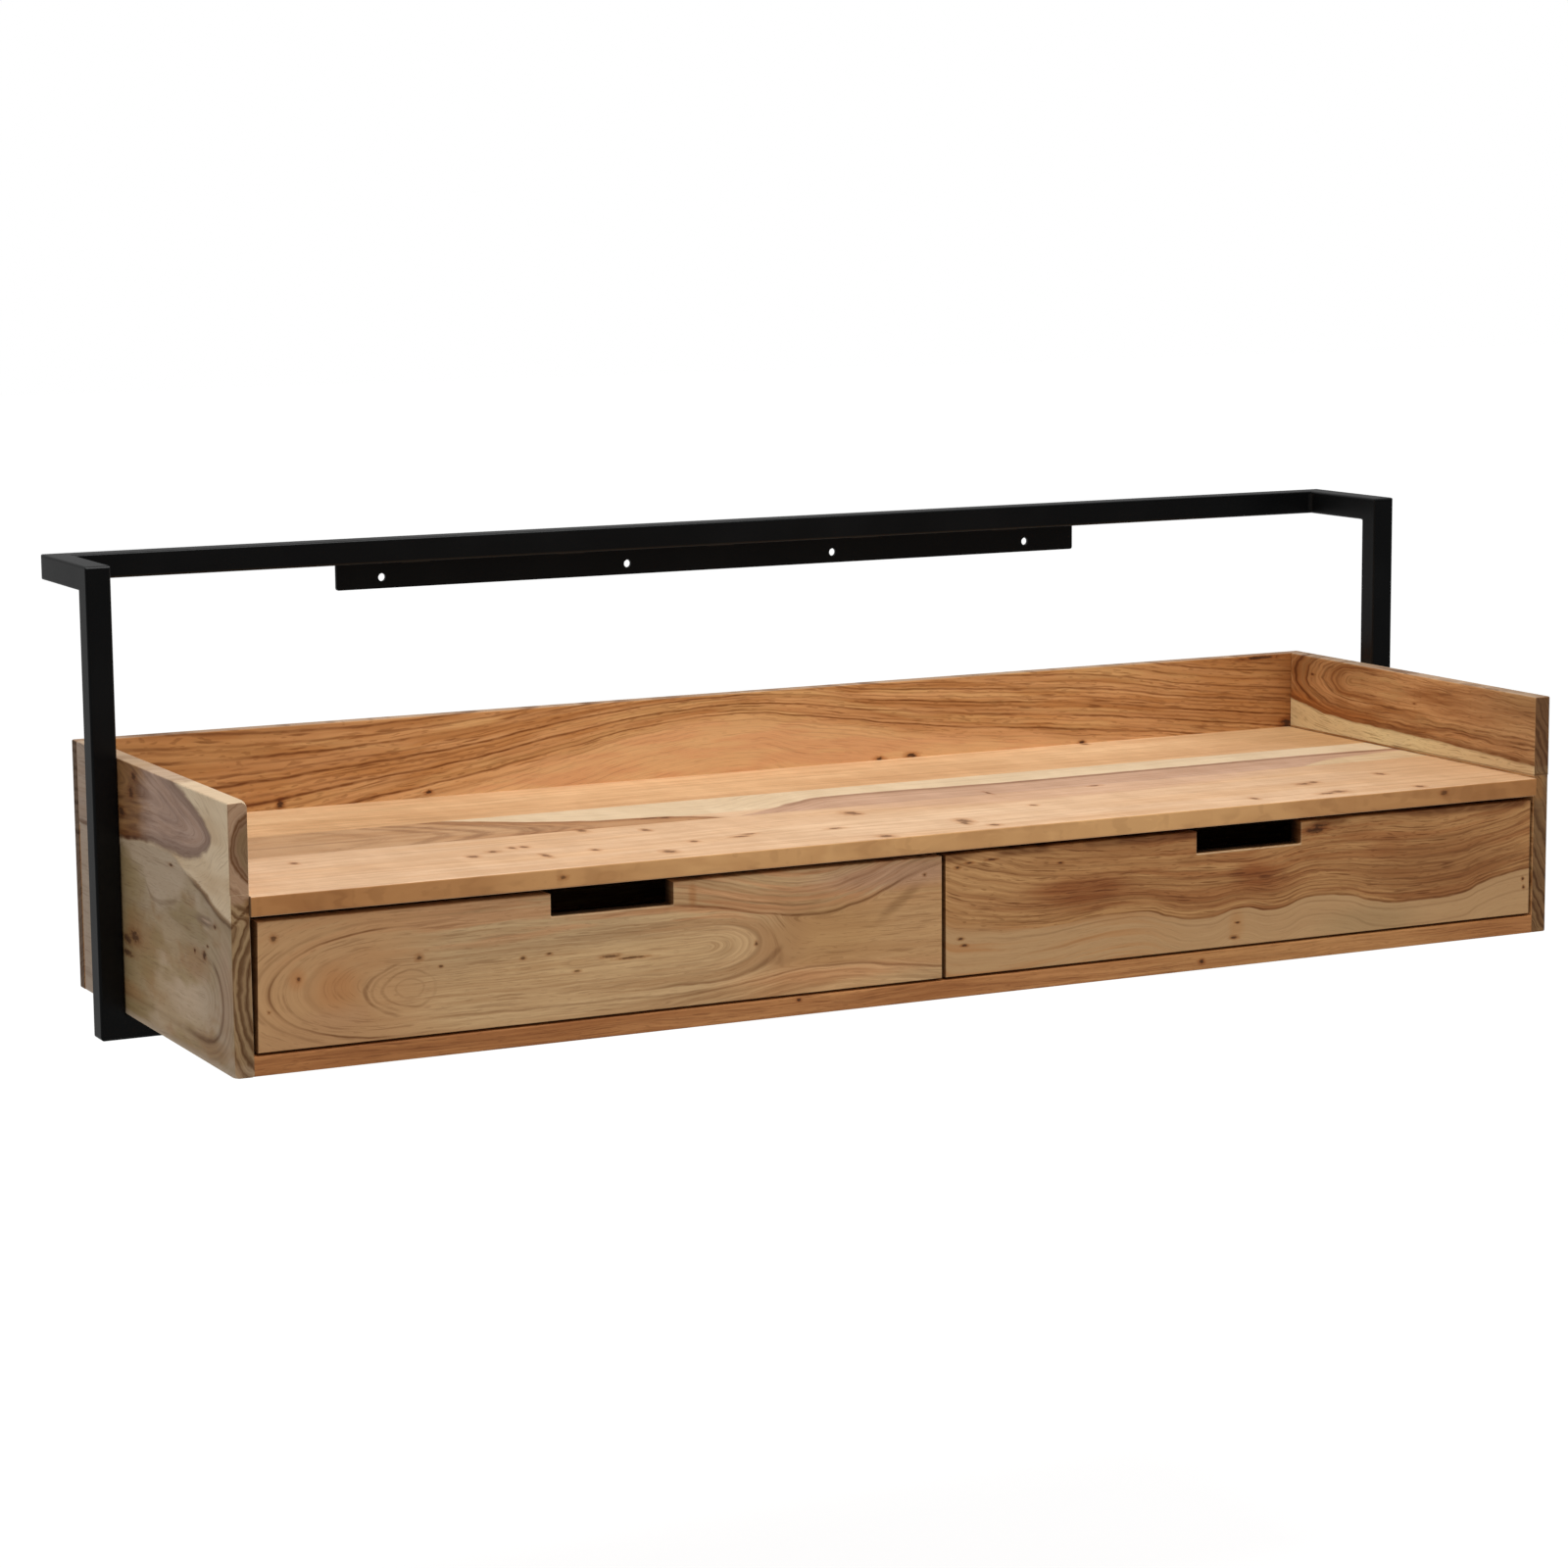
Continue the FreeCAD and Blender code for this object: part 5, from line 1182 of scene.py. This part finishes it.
class WALLDESK_OT_stage(Operator):
    """Adds the camera, the floor, the softbox and the surroundings."""

    bl_idname = "walldesk.stage"
    bl_label = "Stage"

    # The camera stands to the left of the desk and looks a little down on it.
    stand = (-1.4813, -3.0570, 0.3008)
    turn, tilt, roll = math.radians(-26.619), math.radians(90 - 8.693), math.radians(-0.492)
    lens = 91.83
    floor_size = 40.0
    ambient = 0.52
    backdrop_share = 0.60   # of the floor that shows as plain backdrop
    backdrop_glow = 1.38    # what makes that share of the floor white
    flagged_floor, mirrored_floor = 0.05, 0.35   # in reflections, before and behind the desk
    softbox = {
        "place": (0.0, -0.75, 1.45), "target": (0.0, -0.22, -0.2), "size": (1.5, 0.9), "power": 26.0}

    def execute(self, context):
        sizes = context.scene.wall_desk_sizes
        tints = context.scene.wall_desk_tints
        self.add_camera(context)
        self.add_floor(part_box("desktop")[1][Z] - sizes.floor_drop, tints.floor)
        self.add_softbox(context, **self.softbox)
        self.add_surroundings(context.scene)
        context.scene.view_settings.view_transform = "Standard"
        return {"FINISHED"}

    def add_camera(self, context):
        bpy.ops.object.camera_add()
        camera = context.active_object
        camera.name = "camera"
        camera.matrix_world = (
            Matrix.Translation(self.stand) @ Matrix.Rotation(self.turn, 4, "Z")
            @ Matrix.Rotation(self.tilt, 4, "X") @ Matrix.Rotation(self.roll, 4, "Z"))
        camera.data.lens = self.lens
        camera.data.sensor_width = 36.0
        context.scene.camera = camera

    def add_floor(self, level, colour):
        bpy.ops.object.select_all(action="DESELECT")
        bpy.ops.mesh.primitive_plane_add(size=self.floor_size, location=(0, 0, level))
        floor = bpy.context.active_object
        floor.name = "studio_floor"
        bpy.ops.object.transform_apply(location=True, rotation=True, scale=True)
        material = bpy.data.materials.new("studio_floor")
        graph = Graph(material)
        seen = self.background_rays(graph) * self.backdrop_share
        mirrored = graph.ray("Glossy")
        place = graph.coordinates("Object")
        behind = graph.part(place, Y).eased(-1.5, 0.5)
        reflected = self.flagged_floor + behind * (self.mirrored_floor - self.flagged_floor)
        strength = self.backdrop_glow + mirrored * (reflected - self.backdrop_glow)
        paint = graph.node("BsdfDiffuse", None, {"Color": (*colour, 1.0)})
        glow = graph.node("Emission", None, {"Color": (1, 1, 1, 1), "Strength": strength})
        both = graph.node("MixShader", None, {0: seen, 1: paint, 2: glow})
        graph.node("OutputMaterial", None, {"Surface": both})
        floor.data.materials.append(material)

    def add_softbox(self, context, place, target, size, power):
        bpy.ops.object.light_add(type="AREA", location=place)
        lamp = context.active_object
        lamp.name = "softbox"
        aim = Vector(target) - Vector(place)
        lamp.rotation_euler = aim.to_track_quat("-Z", "Y").to_euler()
        lamp.data.shape = "RECTANGLE"
        lamp.data.size, lamp.data.size_y = size
        lamp.data.energy = power

    @staticmethod
    def background_rays(graph):
        """1 for the rays that show the surroundings as they are."""
        return graph.ray("Camera") | graph.ray("Glossy") | graph.ray("Transmission")

    def add_surroundings(self, scene):
        """White all round, with a dark flag before the desk that only reflections show."""
        world = bpy.data.worlds.new("studio")
        scene.world = world
        graph = Graph(world)
        direction = graph.coordinates("Generated")
        ahead = graph.part(direction, Y)
        height = graph.part(direction, Z)
        mirrored = graph.ray("Glossy")
        shown = (0.30 + height.eased(0.25, 0.80) * 0.70) * (ahead.eased(-0.45, 0.20) | 0.08)
        seen = self.background_rays(graph)
        plain = self.ambient + seen * (1 - self.ambient)
        strength = plain + mirrored * (shown - plain)
        graph.node("OutputWorld", None, {"Surface": graph.node(
            "Background", None, {"Color": (1, 1, 1, 1), "Strength": strength})})


class WALLDESK_OT_side_panels(Operator):
    """Models both side panels, each of two boards."""

    bl_idname = "walldesk.side_panels"
    bl_label = "Side Panels"

    def execute(self, context):
        sizes = context.scene.wall_desk_sizes
        tints = context.scene.wall_desk_tints
        low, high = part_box("side_panel_left")
        seam = high.z - sizes.side_seam
        sanded = (
            (Vector((high.x, low.y, high.z)), sizes.sanded_corner, 3.0),
            (Vector((low.x, low.y, low.z)), sizes.sanded_corner * 0.9, 1.6),
            (Vector((high.x, low.y, low.z)), sizes.sanded_corner * 0.5, 1.4))
        glued_panel(
            "left_side_panel", "side_panel_left", [seam], Z, sizes, left_panel_wood(tints),
            sizes.seam_step, sanded)
        glued_panel(
            "right_side_panel", "side_panel_right", [seam], Z, sizes,
            right_panel_wood(tints, seam * MILLIMETRES), -sizes.seam_step)
        return {"FINISHED"}


class WALLDESK_OT_back_panel(Operator):
    """Models the back panel of two boards."""

    bl_idname = "walldesk.back_panel"
    bl_label = "Back Panel"

    def execute(self, context):
        sizes = context.scene.wall_desk_sizes
        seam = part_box("back_panel")[1][Z] - sizes.back_seam
        material = back_wood(context.scene.wall_desk_tints, seam * MILLIMETRES)
        heads = screw_heads("back_panel_screws")
        glued_panel("back_upstand", "back_panel", [seam], Z, sizes, material, heads=heads)
        return {"FINISHED"}


class WALLDESK_OT_desktop(Operator):
    """Models the writing surface, with its front edge eased."""

    bl_idname = "walldesk.desktop"
    bl_label = "Desktop"
    rear_seam, front_seam = -134.0, -227.0

    def execute(self, context):
        sizes = context.scene.wall_desk_sizes
        material = desktop_wood(context.scene.wall_desk_tints, self.rear_seam, self.front_seam)
        plain_board("writing_surface", "desktop", sizes, material)
        return {"FINISHED"}


class WALLDESK_OT_bottom_panel(Operator):
    """Models the board under the drawers."""

    bl_idname = "walldesk.bottom_panel"
    bl_label = "Bottom Panel"

    def execute(self, context):
        sizes = context.scene.wall_desk_sizes
        material = bottom_wood(context.scene.wall_desk_tints)
        plain_board("drawer_floor", "bottom_panel", sizes, material)
        return {"FINISHED"}


class WALLDESK_OT_drawer_fronts(Operator):
    """Models both drawer fronts, with finger notches and the grooves for the drawer bottoms."""

    bl_idname = "walldesk.drawer_fronts"
    bl_label = "Drawer Fronts"
    notch_width, notch_depth, notch_corner = 0.100, 0.018, 0.0015
    groove_slack = 0.0005   # beyond the drawer bottom's edges
    near = 1e-4   # allowed for where the notch's edges are looked up

    def execute(self, context):
        sizes = context.scene.wall_desk_sizes
        tints = context.scene.wall_desk_tints
        for hand, finish in (("left", left_drawer_wood), ("right", right_drawer_wood)):
            low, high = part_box(f"drawer_{hand}_front")
            front = block(f"{hand}_drawer_front", low, high)
            if hand == "left":
                plane_off(front, (low.x, high.z), (sizes.planed, 0, -sizes.planed / 2))
            ease_edges(front, sizes.drawer_edge, lambda middle: middle.y < low.y + sizes.drawer_edge)
            middle = (low.x + high.x) / 2
            floor = high.z - self.notch_depth
            clear = self.notch_depth
            notch = block(
                "notch", (middle - self.notch_width / 2, low.y - clear, floor),
                (middle + self.notch_width / 2, high.y + clear, high.z + clear))
            ease_edges(notch, self.notch_corner, lambda at: (
                abs(at.z - floor) < SAME_PLACE and abs(at.x - middle) > self.notch_width * 0.4))
            carve(front, notch)
            reach = self.notch_width / 2 + self.near
            ease_edges(front, sizes.notch_edge, lambda at: (
                abs(at.x - middle) < reach and floor - self.near < at.z < high.z - self.near
                and min(abs(at.y - low.y), abs(at.y - high.y)) < self.near), 2)
            bottom_low, bottom_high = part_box(f"drawer_{hand}_bottom")
            level = low.z + sizes.groove_rise
            carve(front, block(
                "groove", (bottom_low.x - self.groove_slack, high.y - sizes.groove_depth, level),
                (bottom_high.x + self.groove_slack, high.y + clear, level + sizes.groove_width)))
            smooth(front)
            place_for(front, f"drawer_{hand}_front", finish(tints))
        return {"FINISHED"}


class WALLDESK_OT_drawer_boxes(Operator):
    """Finishes the drawer sides, backs and bottoms, the divider and the dowels."""

    bl_idname = "walldesk.drawer_boxes"
    bl_label = "Drawer Boxes"

    def execute(self, context):
        tints = context.scene.wall_desk_tints
        sides = [name for name in NODES if name.startswith("drawer") and "_side_" in name]
        finish_nodes(
            [*sides, "centre_divider"],
            plain_wood("drawer_side_wood", tints.inner, (Y, Z, X), tints, 9.6))
        finish_nodes(
            ["drawer_left_back", "drawer_right_back"],
            plain_wood("drawer_back_wood", tints.inner, (X, Z, Y), tints, 10.4))
        finish_nodes(["drawer_left_bottom", "drawer_right_bottom"], plywood(tints))
        finish_nodes(
            [name for name in NODES if "dowels" in name],
            plain_wood("dowel_beech", tints.beech, (X, Y, Z), tints, 12.1))
        return {"FINISHED"}


class WALLDESK_OT_tube_frame(Operator):
    """Finishes the square-tube frame, its welds and the wall strip."""

    bl_idname = "walldesk.tube_frame"
    bl_label = "Tube Frame"

    def execute(self, context):
        frame_nodes = [name for name, slot in SLOT_OF.items() if slot == "black_steel"]
        finish_nodes(frame_nodes, powder_coat(context.scene.wall_desk_tints))
        return {"FINISHED"}


class WALLDESK_OT_slides(Operator):
    """Finishes the slides and their balls."""

    bl_idname = "walldesk.slides"
    bl_label = "Slides"

    def execute(self, context):
        tints = context.scene.wall_desk_tints
        for slot, name, colour, roughness, streaks in (
                ("slide_steel", "zinc_sheet", tints.zinc, 0.26, (0.8, 60.0, 0.8)),
                ("ball_steel", "bearing_steel", tints.bearing, 0.08, (9.0, 9.0, 9.0))):
            finish_nodes(
                [node for node, its_slot in SLOT_OF.items() if its_slot == slot],
                plated_steel(name, colour, roughness, streaks))
        return {"FINISHED"}


class WALLDESK_OT_screws(Operator):
    """Cuts the cross recesses in the screws' heads."""

    bl_idname = "walldesk.screws"
    bl_label = "Screws"

    def execute(self, context):
        plate = plated_steel("zinc_screw", context.scene.wall_desk_tints.zinc, 0.30, (1.5, 1.5, 1.5))
        for node, slot in SLOT_OF.items():
            if slot != "screw_steel":
                continue
            screws = bpy.data.objects.new("recessed_" + node, NODES[node].data.copy())
            context.collection.objects.link(screws)
            pick(screws)
            bpy.ops.object.mode_set(mode="EDIT")
            bpy.ops.mesh.select_all(action="SELECT")
            bpy.ops.mesh.remove_doubles(threshold=1e-6)
            bpy.ops.object.mode_set(mode="OBJECT")
            for head in screw_heads(node):
                cut_recess(screws, *head)
            smooth(screws)
            place_for(screws, node, plate)
        return {"FINISHED"}


class WALLDESK_PT_sidebar(Panel):
    """Lists the desk's pieces in the sidebar."""

    bl_label = "Wall Desk"
    bl_idname = "WALLDESK_PT_sidebar"
    bl_space_type = "VIEW_3D"
    bl_region_type = "UI"
    bl_category = "Wall Desk"

    def draw(self, context):
        column = self.layout.column(align=True)
        for operator in OPERATORS:
            column.operator(operator.bl_idname)
        for settings in (context.scene.wall_desk_sizes, context.scene.wall_desk_tints):
            box = self.layout.box()
            for name in settings.__annotations__:
                box.prop(settings, name)


OPERATORS = (
    WALLDESK_OT_stage, WALLDESK_OT_side_panels, WALLDESK_OT_back_panel, WALLDESK_OT_desktop,
    WALLDESK_OT_bottom_panel, WALLDESK_OT_drawer_fronts, WALLDESK_OT_drawer_boxes,
    WALLDESK_OT_tube_frame, WALLDESK_OT_slides, WALLDESK_OT_screws)
CLASSES = (WallDeskSizes, WallDeskTints, *OPERATORS, WALLDESK_PT_sidebar)


def register():
    for cls in CLASSES:
        bpy.utils.register_class(cls)
    bpy.types.Scene.wall_desk_sizes = PointerProperty(type=WallDeskSizes)
    bpy.types.Scene.wall_desk_tints = PointerProperty(type=WallDeskTints)


def unregister():
    del bpy.types.Scene.wall_desk_tints
    del bpy.types.Scene.wall_desk_sizes
    for cls in reversed(CLASSES):
        bpy.utils.unregister_class(cls)


def main():
    register()
    for operator in OPERATORS:
        group, name = operator.bl_idname.split(".")
        getattr(getattr(bpy.ops, group), name)()


if __name__ == "__main__":
    main()
